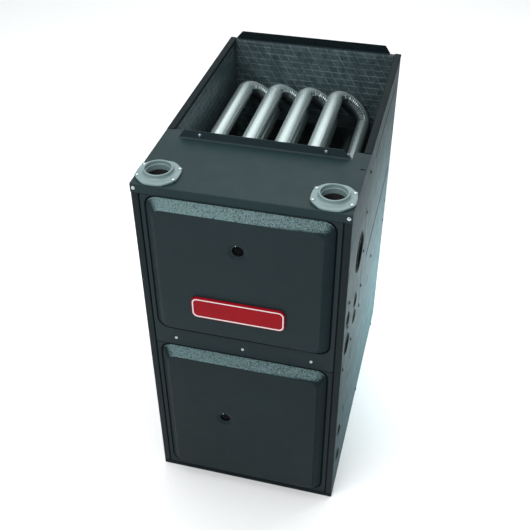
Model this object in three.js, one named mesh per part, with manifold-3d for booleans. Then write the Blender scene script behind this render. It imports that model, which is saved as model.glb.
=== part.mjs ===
// Upflow condensing gas furnace, 17.5 in cabinet, four-tube heat exchanger.
// Working frame: X from the left side (0) to the right side, Y from the front
// edge of the cabinet (0) to its back, Z up from the floor. Millimetres.
// The whole model is then moved so that its box is centred over the origin.
import * as THREE from 'three';
import { mergeVertices } from 'three/addons/utils/BufferGeometryUtils.js';
import Module from 'manifold-3d';

const wasm = await Module();
wasm.setup();

// ---------------------------------------------------------------- dimensions
const W = 444.5;            // cabinet width, 17.5 in
const D = 717.5;            // cabinet depth, 28.25 in
const H = 876.3;            // cabinet height, 34.5 in
const T = 1.2;              // sheet thickness
const GAP = 0.3;            // clearance between separate sheets
const FLANGE_UP = 20;       // supply-air duct flange at the front of the outlet
const FLANGE_UP_BACK = 18;  // and at the back
const LIP_Z = 856;          // lower edge of the top panel's front lip
const DUCT_Y = 192;         // front edge of the supply-air outlet
const STRIP_Y = 222;        // back end of the top panel's side strips
const EDGE_L = 14.5, EDGE_R = 422;   // inner edges of the outlet's side flanges
const STRIP_L = 35.5, STRIP_R = 409; // inner edges of the top panel's strips behind the duct flange
const FRONT_FLANGE = 17;    // cabinet flange beside the doors
const DOOR_X0 = 17.5, DOOR_X1 = 427.2;
const UP_DOOR = { z0: 450.2, z1: 855.4, p0: 503, p1: 852 };   // door and pillow
const LOW_DOOR = { z0: 14.2, z1: 449.6, p0: 28, p1: 446.5 };
const PILLOW_X0 = 30.5, PILLOW_X1 = 414, PILLOW_H = 19.5, PILLOW_R = 25;
const PORT_UP = [223, 760], PORT_LOW = [178.5, 247];
const BADGE = { x: 221, z: 598.5, w: 204, h: 54, r: 12, t: 6.2 };
const COLLARS = [[45, 45], [399.5, 45]];
const COLLAR = { od: 60, id: 52.6, top: 15.5, flange: 89, cut: 24, t: 5 };
const DECK_Z = 448;         // blower deck
const PART_Y = 235;         // vestibule partition
const TUBE_X = [59, 138, 217, 296], TUBE_Z = 772;
const TUBE_R1 = 19.8, TUBE_R2 = 16, TUBE_WALL = 1.3;
const TUBE_BACK = 674, TUBE_FRONT = 262;
const WHEEL = { y: 440, z: 190, r: 125, x0: 112, x1: 333 };
const INDUCER = { x: 262, z: 556, r: 70, y0: 128, y1: 198.7 };
const INSUL = 12;

// holes in each side panel: y, z, radius
const SIDE_HOLES = [[156, 670, 43.5], [152, 537.6, 16], [154, 486, 16], [42, 578, 15],
  [55, 492, 25], [42, 216, 14], [48.5, 115, 15]];

// ------------------------------------------------------------------- colours
const mat = (color, roughness, metalness) => new THREE.MeshStandardMaterial({ color, roughness, metalness });
const M = {
  paint: mat(0x2c3437, 0.5, 0.25), panel: mat(0x3e4b4f, 0.5, 0.25), side: mat(0x55686b, 0.5, 0.25),
  galv: mat(0x9aa3a5, 0.42, 0.85), alum: mat(0xb9c6c8, 0.25, 0.95), foil: mat(0x4b5c60, 0.45, 0.5),
  collar: mat(0x7f9496, 0.55, 0.0), red: mat(0x9a1119, 0.35, 0.1), lens: mat(0x14191b, 0.15, 0.0),
  screw: mat(0xc9d2d4, 0.3, 0.9), dark: mat(0x1c2022, 0.6, 0.1), brass: mat(0xb08d4a, 0.35, 0.9),
  board: mat(0x1d5a3a, 0.5, 0.1), copper: mat(0x8a5a3c, 0.5, 0.5), plastic: mat(0x23282b, 0.55, 0.0),
  rubber: mat(0x181a1b, 0.8, 0.0), fin: mat(0xa9b4b6, 0.4, 0.8), redbtn: mat(0xb2202a, 0.4, 0.0),
  pvc: mat(0xd8d8d2, 0.5, 0.0),
};

// ------------------------------------------------------------- solid helpers
const grid = v => Math.round(v * 1024) / 1024;
function solid(geo) {
  const g = geo.clone();
  for (const k of Object.keys(g.attributes)) if (k !== 'position') g.deleteAttribute(k);
  const a = g.attributes.position;                     // points lie on a grid of 1/1024 mm
  for (let i = 0; i < a.count; i++) a.setXYZ(i, grid(a.getX(i)), grid(a.getY(i)), grid(a.getZ(i)));
  const m = mergeVertices(g, 1e-4);
  return new wasm.Manifold(new wasm.Mesh({ numProp: 3,
    vertProperties: new Float32Array(m.attributes.position.array),
    triVerts: new Uint32Array(m.index.array) }));
}
function box(x0, x1, y0, y1, z0, z1) {
  const g = new THREE.BoxGeometry(x1 - x0, y1 - y0, z1 - z0);
  g.translate((x0 + x1) / 2, (y0 + y1) / 2, (z0 + z1) / 2);
  return solid(g);
}
// a cylinder along an axis from a to b, at (p, q) in the other two axes
function cyl(axis, p, q, a, b, r, seg = 20, r2 = r) {
  const g = new THREE.CylinderGeometry(r2, r, b - a, seg);   // along +Y, r at a
  if (axis === 'x') { g.rotateZ(-Math.PI / 2); g.translate((a + b) / 2, p, q); }
  if (axis === 'y') { g.translate(p, (a + b) / 2, q); }
  if (axis === 'z') { g.rotateX(Math.PI / 2); g.translate(p, q, (a + b) / 2); }
  return solid(g);
}
// an outline in (u, v) pushed along an axis from a to b
function prism(axis, pts, a, b) {
  const shape = new THREE.Shape(pts.map(([u, v]) => new THREE.Vector2(u, v)));
  const g = new THREE.ExtrudeGeometry(shape, { depth: b - a, bevelEnabled: false, curveSegments: 6 });
  if (axis === 'z') g.translate(0, 0, a);
  if (axis === 'y') { g.rotateX(Math.PI / 2); g.translate(0, b, 0); }      // (u, v) = (x, z)
  if (axis === 'x') {                                                        // (u, v) = (y, z)
    g.applyMatrix4(new THREE.Matrix4().set(0, 0, 1, 0, 1, 0, 0, 0, 0, 1, 0, 0, 0, 0, 0, 1));
    g.translate(a, 0, 0);
  }
  return solid(g);
}
// a ring profile of (radius, height) turned round an axis
function turned(axis, p, q, prof, seg = 24) {
  const g = new THREE.LatheGeometry(prof.map(([r, h]) => new THREE.Vector2(r, h)), seg);
  if (axis === 'x') { g.rotateZ(-Math.PI / 2); g.translate(0, p, q); }
  if (axis === 'y') { g.translate(p, 0, q); }
  if (axis === 'z') { g.rotateX(Math.PI / 2); g.translate(p, q, 0); }
  const s = solid(g);
  return s;
}
const add = (...s) => s.reduce((a, b) => a.add(b));
const cut = (a, ...s) => s.reduce((x, y) => x.subtract(y), a);
function geometry(m) {
  const g = m.getMesh();
  const b = new THREE.BufferGeometry();
  const n = g.numProp, src = g.vertProperties, pos = new Float32Array((src.length / n) * 3);
  for (let i = 0; i < src.length / n; i++) for (let k = 0; k < 3; k++) pos[3 * i + k] = src[n * i + k];
  b.setAttribute('position', new THREE.BufferAttribute(pos, 3));
  b.setIndex(new THREE.BufferAttribute(new Uint32Array(g.triVerts), 1));
  b.computeVertexNormals();
  return b;
}
// rounded rectangle outline, counter-clockwise, in (u, v)
function roundRect(u0, u1, v0, v1, r, n = 3) {
  const pts = [];
  for (const [cu, cv, a0] of [[u1 - r, v0 + r, -90], [u1 - r, v1 - r, 0], [u0 + r, v1 - r, 90], [u0 + r, v0 + r, 180]])
    for (let i = 0; i <= n; i++) {
      const a = (a0 + 90 * i / n) * Math.PI / 180;
      pts.push([cu + r * Math.cos(a), cv + r * Math.sin(a)]);
    }
  return pts;
}
// closed skin through rings of equal point count; first and last ring are capped
function loft(rings) {
  const n = rings[0].length, pos = [], idx = [];
  for (const r of rings) for (const p of r) pos.push(...p);
  for (let k = 0; k < rings.length - 1; k++)
    for (let i = 0; i < n; i++) {
      const a = k * n + i, b = k * n + (i + 1) % n, c = a + n, d = b + n;
      idx.push(a, b, d, a, d, c);
    }
  for (const [base, flip] of [[0, true], [(rings.length - 1) * n, false]])
    for (let i = 1; i < n - 1; i++) idx.push(...(flip ? [base, base + i + 1, base + i] : [base, base + i, base + i + 1]));
  const g = new THREE.BufferGeometry();
  g.setAttribute('position', new THREE.Float32BufferAttribute(pos, 3));
  g.setIndex(idx);
  return solid(g);
}
// a line through corner points, each corner rounded to a radius
function route(pts, radii, steps = 6) {
  const P = pts.map(p => new THREE.Vector3(...p)), out = [];
  out.push({ p: P[0].clone(), t: P[1].clone().sub(P[0]).normalize() });
  for (let i = 1; i < P.length - 1; i++) {
    const a = P[i - 1].clone().sub(P[i]).normalize(), b = P[i + 1].clone().sub(P[i]).normalize();
    const half = a.angleTo(b) / 2, r = Array.isArray(radii) ? radii[i - 1] : radii, d = r / Math.tan(half);
    const bis = a.clone().add(b).normalize(), c = P[i].clone().addScaledVector(bis, r / Math.sin(half));
    const s = P[i].clone().addScaledVector(a, d).sub(c), e = P[i].clone().addScaledVector(b, d).sub(c);
    const axis = s.clone().cross(e).normalize(), sweep = s.angleTo(e);
    for (let k = 0; k <= steps; k++) {
      const v = s.clone().applyAxisAngle(axis, sweep * k / steps);
      out.push({ p: c.clone().add(v), t: axis.clone().cross(v).normalize() });
    }
  }
  const L = P.length;
  out.push({ p: P[L - 1].clone(), t: P[L - 1].clone().sub(P[L - 2]).normalize() });
  return out.filter((q, i) => i === 0 || q.p.distanceTo(out[i - 1].p) > 0.05);
}
// a round tube along a route; radius(s) for s from 0 to 1 along the length
function tube(way, radius, seg = 12) {
  let len = 0; const at = [0];
  for (let i = 1; i < way.length; i++) { len += way[i].p.distanceTo(way[i - 1].p); at.push(len); }
  let n = Math.abs(way[0].t.z) > 0.9 ? new THREE.Vector3(1, 0, 0) : new THREE.Vector3(0, 0, 1);
  const rings = [];
  for (let i = 0; i < way.length; i++) {
    const t = way[i].t;
    n = n.clone().addScaledVector(t, -n.dot(t)).normalize();
    const b = t.clone().cross(n), r = radius(at[i] / len, i);
    rings.push(Array.from({ length: seg }, (_, k) => {
      const a = 2 * Math.PI * k / seg;
      const v = way[i].p.clone().addScaledVector(n, r * Math.cos(a)).addScaledVector(b, r * Math.sin(a));
      return [v.x, v.y, v.z];
    }));
  }
  return loft(rings);
}
// stretch a route a little at both ends, for cutting the bore of a tube
function longer(way, e = 1) {
  const w = way.map(q => ({ p: q.p.clone(), t: q.t.clone() }));
  w[0].p.addScaledVector(w[0].t, -e);
  w[w.length - 1].p.addScaledVector(w[w.length - 1].t, e);
  return w;
}

const furnace = new THREE.Group();
furnace.position.set(-W / 2, -(D - PILLOW_H - 0.3 - BADGE.t) / 2, 0);
function piece(name, m, material, parent = furnace) {
  const mesh = new THREE.Mesh(geometry(m), material);
  mesh.name = name;
  parent.add(mesh);
  return mesh;
}

// =========================================================== cabinet and sheets
// side, back and flanges folded from one sheet: a block, hollowed and trimmed
{
  const zf = LIP_Z - GAP, zs = H - T - GAP, top = H + FLANGE_UP_BACK, far = 1e3;
  let s = cut(box(0, W, 0, D, 0, top), box(T, W - T, T, D - T, T, H - T),
    box(-1, W + 1, -1, D - T, H, far),                                  // above the top, in front of the back flange
    box(EDGE_L, EDGE_R, T, D - T, H - 5, H + 1),                        // supply-air outlet
    box(-1, W + 1, -1, STRIP_Y + GAP, zs, far), box(-1, W + 1, -1, T + GAP, zf, far),
    box(FRONT_FLANGE, W - FRONT_FLANGE, -1, T + 1, -1, far), box(T, W - T, -1, T + 1, -1, 14),
    box(T, W - T, -1, 29, -1, T + 1), box(20, W - 20, 28, D - 20, -1, T + 1),
    prism('y', [[-1, H], [15, H], [32.8, H + FLANGE_UP_BACK + 2], [-1, H + FLANGE_UP_BACK + 2]], D - 5, D + 1),
    prism('y', [[W + 1, H], [W + 1, H + FLANGE_UP_BACK + 2], [402.6, H + FLANGE_UP_BACK + 2], [417, H]], D - 5, D + 1));
  for (const m of [0, 1]) {
    const f = x => m ? W - x : x;
    const pts = [[15.8, 0.7], [16.9, 0.7], [16.9, 4.8], [32, 4.8], [32, 6], [15.8, 6]].map(([x, y]) => [f(x), y]);
    s = add(s, prism('z', m ? pts.reverse() : pts, 14.6, zf - 0.6));
  }
  for (const [y, z, r] of SIDE_HOLES) s = cut(s, cyl('x', y, z, -1, T + 1, r, 16), cyl('x', y, z, W - T - 1, W + 1, r, 16));
  piece('cabinet_wrap', s, M.side);
}
{
  const up = H + FLANGE_UP, far = 1e3;
  let s = cut(box(0, W, 0, STRIP_Y, LIP_Z, up), box(-1, W + 1, T, STRIP_Y + 1, LIP_Z - 1, H - T),
    box(-1, W + 1, -1, DUCT_Y - T, H, far), box(-1, W + 1, DUCT_Y, STRIP_Y + 1, H, far),
    box(STRIP_L, STRIP_R, DUCT_Y, STRIP_Y + 1, H - 5, H + 1),
    prism('y', [[-1, H], [36, H], [51.4, up + 2], [-1, up + 2]], DUCT_Y - 5, DUCT_Y + 1),
    prism('y', [[W + 1, H], [W + 1, up + 2], [388, up + 2], [408.5, H]], DUCT_Y - 5, DUCT_Y + 1));
  for (const [x, y] of COLLARS) s = cut(s, cyl('z', x, y, H - 3, H + 1, COLLAR.od / 2 + 0.6, 24));
  piece('top_panel', s, M.panel);
}
const XI0 = T + GAP, XI1 = W - T - GAP;          // inside faces of the side walls, with clearance
piece('base_rail', prism('x', [[0, 0], [28, 0], [28, T], [T, T], [T, 13.7], [0, 13.7]], XI0, XI1), M.dark);
{
  const a = 29, b = D - T - GAP, z = T + GAP;
  piece('bottom_panel', prism('x', [[a, z], [b, z], [b, 12], [b - T, 12], [b - T, z + T], [a + T, z + T], [a + T, 12], [a, 12]], XI0, XI1), M.galv);
}
{
  let s = prism('x', [[6.3, 436], [7.5, 436], [7.5, 446.5], [30, 446.5], [30, 447.7], [7.5, 447.7], [7.5, 506], [6.3, 506]], XI0, XI1);
  for (const x of [67.3, 222.3, 377.4]) s = cut(s, cyl('y', x, 472, 5, 9, 2.3, 10));
  piece('mid_rail', s, M.galv);
}
piece('blower_deck', cut(box(XI0, XI1, 8, D - T - GAP, DECK_Z, DECK_Z + T),
  box(105, 340, 264, 482, DECK_Z - 1, DECK_Z + 3)), M.galv);
{
  const a = DUCT_Y + GAP, b = PART_Y - T / 2, c = PART_Y + T / 2, zb = DECK_Z + T + GAP, zt = H - T - GAP;
  let s = prism('x', [[b, zb], [c, zb], [c, 846], [a + T, 846], [a + T, zt], [a, zt], [a, 844.8], [b, 844.8]], XI0, XI1);
  for (const x of TUBE_X) s = cut(s, cyl('y', x, TUBE_Z, PART_Y - 3, PART_Y + 3, 17, 14));
  s = cut(s, box(90, 355, PART_Y - 3, PART_Y + 3, 492, 588));
  piece('vestibule_partition', s, M.galv);
}
{
  const y0 = PART_Y + T / 2 + GAP, y1 = D - T - GAP, z0 = DECK_Z + T + GAP, z1 = H - T - GAP - 0.3;
  piece('insulation_left', box(XI0, XI0 + INSUL, y0, y1, z0, z1), M.foil);
  piece('insulation_right', box(XI1 - INSUL, XI1, y0, y1, z0, z1), M.foil);
  piece('insulation_back', box(XI0 + INSUL + GAP, XI1 - INSUL - GAP, y1 - INSUL, y1, z0, z1), M.foil);
}

// ======================================================================= doors
function door(name, d, port, screws, tab) {
  const ring = (inset, y, grow = 0) => roundRect(PILLOW_X0 + inset - grow, PILLOW_X1 - inset + grow,
    d.p0 + inset - grow, d.p1 - inset + grow, Math.max(PILLOW_R - inset * 0.35, 6)).map(([u, v]) => [u, y, v]);
  // outer pillow, from behind the sheet to the face; the bevel is slightly crowned
  const outer = loft([ring(0, T * 0.5), ring(0, 0), ring(7, -9.5), ring(14, -16.8), ring(19.5, -PILLOW_H)]);
  const inner = loft([ring(T, 2 * T + 1), ring(T, T * 0.6), ring(7 + T * 0.8, -9.5 + T), ring(14 + T * 0.6, -16.8 + T), ring(19.5, -PILLOW_H + T)]);
  let s = add(cut(box(DOOR_X0, DOOR_X1, 0, 4.5, d.z0, d.z1),
    box(DOOR_X0 + T, DOOR_X1 - T, T, 5.5, d.z0 + T, d.z1 - T)), outer);
  s = cut(s, inner, cyl('y', port[0], port[1], -PILLOW_H - 2, -PILLOW_H + 4, 12.4, 20));
  if (tab) s = add(s, box(42, 60, 0.6, 4.5, 406, 449));     // presses the door switch
  for (const x of screws) s = cut(s, cyl('y', x, 472, -2, 3, 2.3, 10));
  piece(name, s, M.paint);
}
door('upper_door', UP_DOOR, PORT_UP, [67.3, 222.3, 377.4]);
door('lower_door', LOW_DOOR, PORT_LOW, [], true);
const lens = ([x, z]) => turned('y', x, z, [[0, -PILLOW_H - 1.6], [9, -PILLOW_H - 1.3], [14.2, -PILLOW_H - GAP - 0.2],
  [14.2, -PILLOW_H - GAP], [12, -PILLOW_H - GAP], [12, -PILLOW_H + 3], [0, -PILLOW_H + 3]], 16);
piece('upper_sight_lens', lens(PORT_UP), M.lens);
piece('lower_sight_lens', lens(PORT_LOW), M.lens);
{
  const y1 = -PILLOW_H - GAP, y0 = y1 - BADGE.t, b = BADGE;
  const out = g => roundRect(b.x - b.w / 2 + g, b.x + b.w / 2 - g, b.z - b.h / 2 + g, b.z + b.h / 2 - g, b.r - g * 0.6);
  const at = (g, y) => out(g).map(([u, v]) => [u, y, v]);
  piece('badge_plate', loft([at(0, y1), at(0, y0 + 1.4), at(1.2, y0)]), M.red);
}
[67.3, 222.3, 377.4].forEach((x, i) => piece(`door_screw_${i + 1}`, add(
  cyl('y', x, 472, -1.6, -GAP, 7, 16), cyl('y', x, 472, -6, -1.5, 4.8, 6), cyl('y', x, 472, -1, 13, 1.9, 10)), M.screw));

// ============================================================= collars on top
COLLARS.forEach(([x, y], i) => {
  const h = COLLAR.flange / 2, c = COLLAR.cut, z0 = H + GAP;
  const oct = [[x - h + c, y - h], [x + h - c, y - h], [x + h, y - h + c], [x + h, y + h - c],
    [x + h - c, y + h], [x - h + c, y + h], [x - h, y + h - c], [x - h, y - h + c]];
  let s = add(prism('z', oct, z0, z0 + COLLAR.t), cyl('z', x, y, 840, H + COLLAR.top, COLLAR.od / 2, 28));
  s = cut(s, cyl('z', x, y, 839, H + COLLAR.top + 1, COLLAR.id / 2, 28));
  for (const [a, b] of [[-37.5, -20], [37.5, -20], [-37.5, 20], [37.5, 20]])
    s = cut(s, cyl('z', x + a, y + b, z0 + 2, z0 + COLLAR.t + 1, 1.7, 8));
  piece(i ? 'vent_collar' : 'intake_collar', s, M.collar);
});

// ================================================================ heat exchanger
TUBE_X.forEach((x, i) => {
  const y0 = PART_Y + T / 2 + GAP, dx = 77, dz = -60, dx2 = -37, dz2 = -67;
  const r1 = Math.hypot(dx, dz) / 2 - 0.01, r2 = Math.hypot(dx2, dz2) / 2 - 0.01;
  const way = route([[x, y0, TUBE_Z], [x, TUBE_BACK, TUBE_Z], [x + dx, TUBE_BACK, TUBE_Z + dz],
    [x + dx, TUBE_FRONT, TUBE_Z + dz], [x + dx + dx2, TUBE_FRONT, TUBE_Z + dz + dz2],
    [x + dx + dx2, 654.7, TUBE_Z + dz + dz2]], [r1, r1, r2, r2], 3);
  const rad = w => (s, k) => { const p = way[k].p; return (p.y > TUBE_BACK - r1 - 1 && k < 10)
    ? TUBE_R1 + (TUBE_R2 - TUBE_R1) * Math.min(1, Math.max(0, (TUBE_Z - p.z) / 60)) - w
    : (k < 3 ? TUBE_R1 : TUBE_R2) - w; };
  piece(`heat_tube_${i + 1}`, cut(tube(way, rad(0), 10), tube(longer(way), rad(TUBE_WALL), 10)), M.alum);
});
{
  let s = cut(box(62, 383, 655, 700, 482, 684), box(63.5, 381.5, 656.5, 698.5, 483.5, 682.5));
  for (const x of TUBE_X) s = cut(s, cyl('y', x + 40, TUBE_Z - 127, 650, 660, 14.5, 12));
  s = cut(s, box(75, 370, 650, 660, 495, 585));
  piece('rear_header', s, M.alum);
}
{
  let s = box(62, 383, 236, 654.7, 482, 598);
  for (let y = 246; y < 645; y += 22)
    s = cut(s, box(60, 385, y, y + 12, 562, 600), box(60, 385, y, y + 12, 480, 518));
  piece('secondary_coil', s, M.fin);
}
{
  let s = cut(box(70, 375, 199, 234.1, 470, 610), box(72.5, 372.5, 201.5, 236, 472.5, 607.5),
    cyl('y', INDUCER.x, INDUCER.z, 195, 205, 28, 20));
  s = add(s, cyl('x', 216, 484, 374, 386, 7, 12));
  s = cut(s, cyl('x', 216, 484, 368, 388, 5, 12));
  piece('collector_box', s, M.plastic);
}

// ====================================================================== inducer
{
  const { x, z, r, y0, y1 } = INDUCER, ox = x + 46;
  let s = add(cyl('y', x, z, y0, y1, r, 28), box(x + 18, x + r, y0, y1, z, 654), cyl('z', ox - 2, (y0 + y1) / 2, 652, 668, 25, 20));
  s = cut(s, cyl('y', x, z, y0 + 2, y1 - 2, r - 2, 28), box(x + 20, x + r - 2, y0 + 2, y1 - 2, z, 652),
    cyl('z', ox - 2, (y0 + y1) / 2, 648, 670, 22, 20), cyl('y', x, z, y1 - 5, y1 + 3, 27, 20), cyl('y', x, z, y0 - 2, y0 + 4, 9, 14));
  piece('inducer_housing', s, M.plastic);
  // impeller: back plate, blades, hub and shaft
  let w = add(cyl('y', x, z, 138, 140, 56, 28), cyl('y', x, z, 120, 166, 7, 14));
  for (let k = 0; k < 14; k++) {
    const g = new THREE.BoxGeometry(30, 26, 1.6); g.translate(40, 152.5, 0);
    g.rotateY(2 * Math.PI * k / 14); g.translate(x, 0, z); w = w.add(solid(g));
  }
  piece('inducer_wheel', w, M.galv);
  let m = add(cyl('y', x, z, 74, 118.5, 40, 24), cyl('y', x, z, 66, 74.2, 30, 24));
  m = cut(m, cyl('y', x, z, 106, 120, 9, 14));
  for (const a of [30, 150, 270]) {
    const c = Math.cos(a * Math.PI / 180), d = Math.sin(a * Math.PI / 180);
    m = add(m, cyl('y', x + 35 * c, z + 35 * d, 117, 127.7, 3.5, 8));
  }
  piece('inducer_motor', m, M.dark);
  const sy = (y0 + y1) / 2;
  const vent = route([[ox - 2, sy, 668.3], [ox - 2, sy, 690], [399.5, 45, 735], [399.5, 45, 839.7]], [28, 40], 3);
  piece('vent_pipe', cut(tube(vent, () => 25, 12), tube(longer(vent), () => 22, 12)), M.dark);
}
{
  const air = route([[45, 45, 839.7], [45, 45, 772], [45, 99.7, 772]], 27, 4);
  piece('intake_elbow', cut(tube(air, () => 25, 12), tube(longer(air), () => 22, 12)), M.rubber);
}

// ============================================================ burners and gas
{
  let s = cut(box(20, 330, 100, 234.1, 732, 822), box(21.2, 328.8, 101.2, 236, 733.2, 820.8),
    cyl('y', 45, 772, 98, 103, 21, 20), cyl('z', 34, 116, 730, 735, 11, 14), cyl('y', 223, 760, 98, 103, 10, 16));
  piece('burner_box', s, M.galv);
}
TUBE_X.forEach((x, i) => {
  const prof = [[14, 124], [9.5, 140], [9.5, 152], [12.5, 176], [12.5, 227], [11.2, 227], [11.2, 176.4], [8.2, 152.4], [8.2, 139.6], [12.6, 124]];
  let s = turned('y', x, TUBE_Z, prof.concat([prof[0]]), 10);
  const wing = cut(box(x - 32, x + 32, 198, 199.4, 742, 802), cyl('y', x, TUBE_Z, 196, 201, 11.6, 10));
  piece(`burner_${i + 1}`, add(s, wing), M.galv);
});
{
  let s = add(cyl('x', 116, TUBE_Z, 24, 322, 8, 14), cyl('z', 34, 116, 719.3, TUBE_Z, 8, 14));
  for (const x of TUBE_X) s = add(s, cyl('y', x, TUBE_Z, 114, 123, 4, 8));
  piece('gas_manifold', s, M.dark);
  let v = add(box(8, 84, 84, 150, 640, 706), cyl('z', 34, 116, 705, 719, 12, 16), box(22, 70, 78, 85, 652, 694),
    cyl('z', 34, 116, 628, 641, 13, 6));
  v = cut(v, cyl('y', 46, 673, 70, 82, 4.4, 12), cyl('z', 34, 116, 626, 645, 8, 12));
  piece('gas_valve', v, M.alum);
  piece('gas_valve_knob', add(cyl('y', 46, 673, 64, 77.7, 13, 18), box(43.5, 48.5, 58, 66, 661, 685), cyl('y', 46, 673, 77, 81.5, 4, 12)), M.redbtn);
}
piece('igniter', add(box(312, 326, 204, 216, 762, 782), box(317, 321, 215, 231, 770, 774), box(290, 321, 229, 231, 770, 774)), M.pvc);
piece('flame_sensor', add(box(23, 36, 204, 216, 762, 782), box(28, 32, 215, 231, 770, 774), box(28, 62, 229, 231, 770.5, 773.5)), M.pvc);
[[110, 'left'], [250, 'right']].forEach(([x, side]) => {
  piece(`rollout_switch_${side}`, cut(add(cyl('z', x, 165, 822.3, 829, 12, 16), box(x - 20, x + 20, 160, 170, 822.3, 823.5)),
    cyl('z', x, 165, 824.5, 830, 3.6, 12)), M.dark);
  piece(`reset_button_${side}`, cyl('z', x, 165, 827, 832.5, 3, 12), M.redbtn);
});
[578, 512].forEach((z, i) => piece(`pressure_switch_${i + 1}`, turned('y', 38, z,
  [[0, 198], [3, 198], [3, 210], [20, 212], [26, 218], [26, 224], [20, 230], [20, 234], [0, 234]], 20), M.plastic));

// ======================================================= condensate and wiring
{
  let s = add(box(397, 440, 128, 182, 462, 566), cyl('y', 418, 484, 181, 190, 7, 12), cyl('x', 154, 486, 439, 442.8, 9, 12));
  s = cut(s, box(400, 437, 131, 179, 470, 568), cyl('y', 418, 484, 176, 192, 5, 12), cyl('x', 154, 486, 434, 444, 6.5, 12));
  piece('condensate_trap', s, M.plastic);
  const hose = route([[386.3, 216, 484], [418, 216, 484], [418, 190.3, 484]], 18, 3);
  piece('drain_hose', cut(tube(hose, () => 7, 8), tube(longer(hose), () => 4.8, 8)), M.rubber);
}
piece('junction_box', cut(box(396, 442.7, 14, 68, 552, 604), box(397.2, 441.5, 12, 66.8, 553.2, 602.8),
  cyl('x', 42, 578, 440, 444, 11, 14)), M.galv);
{
  piece('control_bracket', add(box(92, 265, 70, 71.2, 160, 447.7), box(92, 265, 70, 92, 446.5, 447.7),
    box(92, 93.2, 71, 90, 160, 446.6), box(263.8, 265, 71, 90, 160, 446.6)), M.galv);
  let b = box(104, 253, 62, 64, 172, 336);
  for (const [x0, x1, z0, z1, h] of [[112, 130, 180, 206, 16], [134, 152, 180, 206, 16], [156, 174, 180, 206, 16], [182, 214, 182, 204, 20],
    [222, 246, 178, 230, 10], [112, 160, 292, 328, 12], [170, 208, 300, 326, 8], [216, 246, 262, 330, 11], [118, 142, 226, 250, 4], [150, 200, 262, 286, 5]])
    b = b.add(box(x0, x1, 62 - h, 62.5, z0, z1));
  for (const [x, z] of [[110, 215], [247, 245], [110, 285], [165, 215]]) b = b.add(cyl('y', x, z, 63.5, 69.7, 2.5, 8));
  piece('control_board', b, M.board);
  piece('transformer', add(box(296, 352, 62, 100, 386, 440), box(286, 362, 74, 88, 436, 447.7), box(304, 344, 50, 112, 394, 432)), M.copper);
  let d = add(box(40, 62, 14, 40, 404, 430), box(38, 64, 14, 16, 404, 446.2), box(38, 64, 14, 36, 445, 446.2));
  d = cut(d, box(47, 55, 10, 26, 413, 421));
  piece('door_switch', d, M.plastic);
  piece('door_switch_plunger', box(47.6, 54.4, 4.8, 22, 413.6, 420.4), M.pvc);
}

// ======================================================================= blower
{
  const { y, z, r } = WHEEL, x0 = 98, x1 = 347, top = 447.7;
  // scroll outline in (y, z): grows from the cutoff, down round the wheel, then straight up
  const scroll = k => {
    const pts = [];
    for (let i = 0; i <= 18; i++) {
      const f = (70 - 250 * i / 18) * Math.PI / 180, q = 138 + 44 * i / 18 - k;
      pts.push([y + q * Math.cos(f), z + q * Math.sin(f)]);
    }
    pts[pts.length - 1][0] = y - 182 + k;
    pts.push([y - 182 + k, top + (k ? 3 : 0)]);
    pts.push([y + 47 - k, top + (k ? 3 : 0)]);
    pts.push([y + 47 - k, z + (138 - k) * Math.sin(70 * Math.PI / 180) + 2 + k]);
    return pts.reverse();
  };
  let s = add(prism('x', scroll(0), x0, x1), box(x0 - 10, x1 + 10, y - 192, y + 57, top - T, top));
  s = cut(s, prism('x', scroll(1.6), x0 + 1.6, x1 - 1.6), cyl('x', y, z, x0 - 3, x0 + 5, 100, 28), cyl('x', y, z, x1 - 5, x1 + 3, 100, 28));
  piece('blower_housing', s, M.galv);
  // wheel: two end rings, centre plate, blades, hub and shaft
  const ring = (a, b) => cut(cyl('x', y, z, a, b, r, 24), cyl('x', y, z, a - 1, b + 1, r - 18, 24));
  let w = add(ring(WHEEL.x0, WHEEL.x0 + 4), ring(WHEEL.x1 - 4, WHEEL.x1), cyl('x', y, z, 221, 224, r, 24),
    cyl('x', y, z, 204, 240, 18, 14), cyl('x', y, z, 162, 240, 6.4, 12));
  for (let k = 0; k < 16; k++) {
    const g = new THREE.BoxGeometry(WHEEL.x1 - WHEEL.x0 - 1, 17, 1.8); g.rotateX(0.45); g.translate(0, r - 11, 0);
    g.rotateX(2 * Math.PI * k / 16); g.translate((WHEEL.x0 + WHEEL.x1) / 2, y, z); w = w.add(solid(g));
  }
  piece('blower_wheel', w, M.galv);
  let m = add(cyl('x', y, z, 70, 190, 66, 28), cyl('x', y, z, 60, 70.5, 48, 28, 58), cyl('x', y, z, 189.5, 197, 58, 28, 30));
  m = cut(m, cyl('x', y, z, 156, 199, 8.5, 14));
  piece('blower_motor', m, M.dark);
  let a = cut(cyl('x', y, z, 82, 96, 70, 28), cyl('x', y, z, 80, 98, 66.4, 28));
  for (const t of [90, 210, 330]) {
    const g = new THREE.BoxGeometry(4, 52, 16); g.translate(94.5 - 2.8 + 2, 68.4 + 26, 0);
    g.rotateX(t * Math.PI / 180); g.translate(0, y, z); a = a.add(solid(g));
  }
  piece('motor_mount', a, M.galv);
}

export default furnace;
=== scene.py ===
import bpy, bmesh, math, random
from mathutils import Vector, Matrix, noise
from mathutils.geometry import delaunay_2d_cdt


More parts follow.
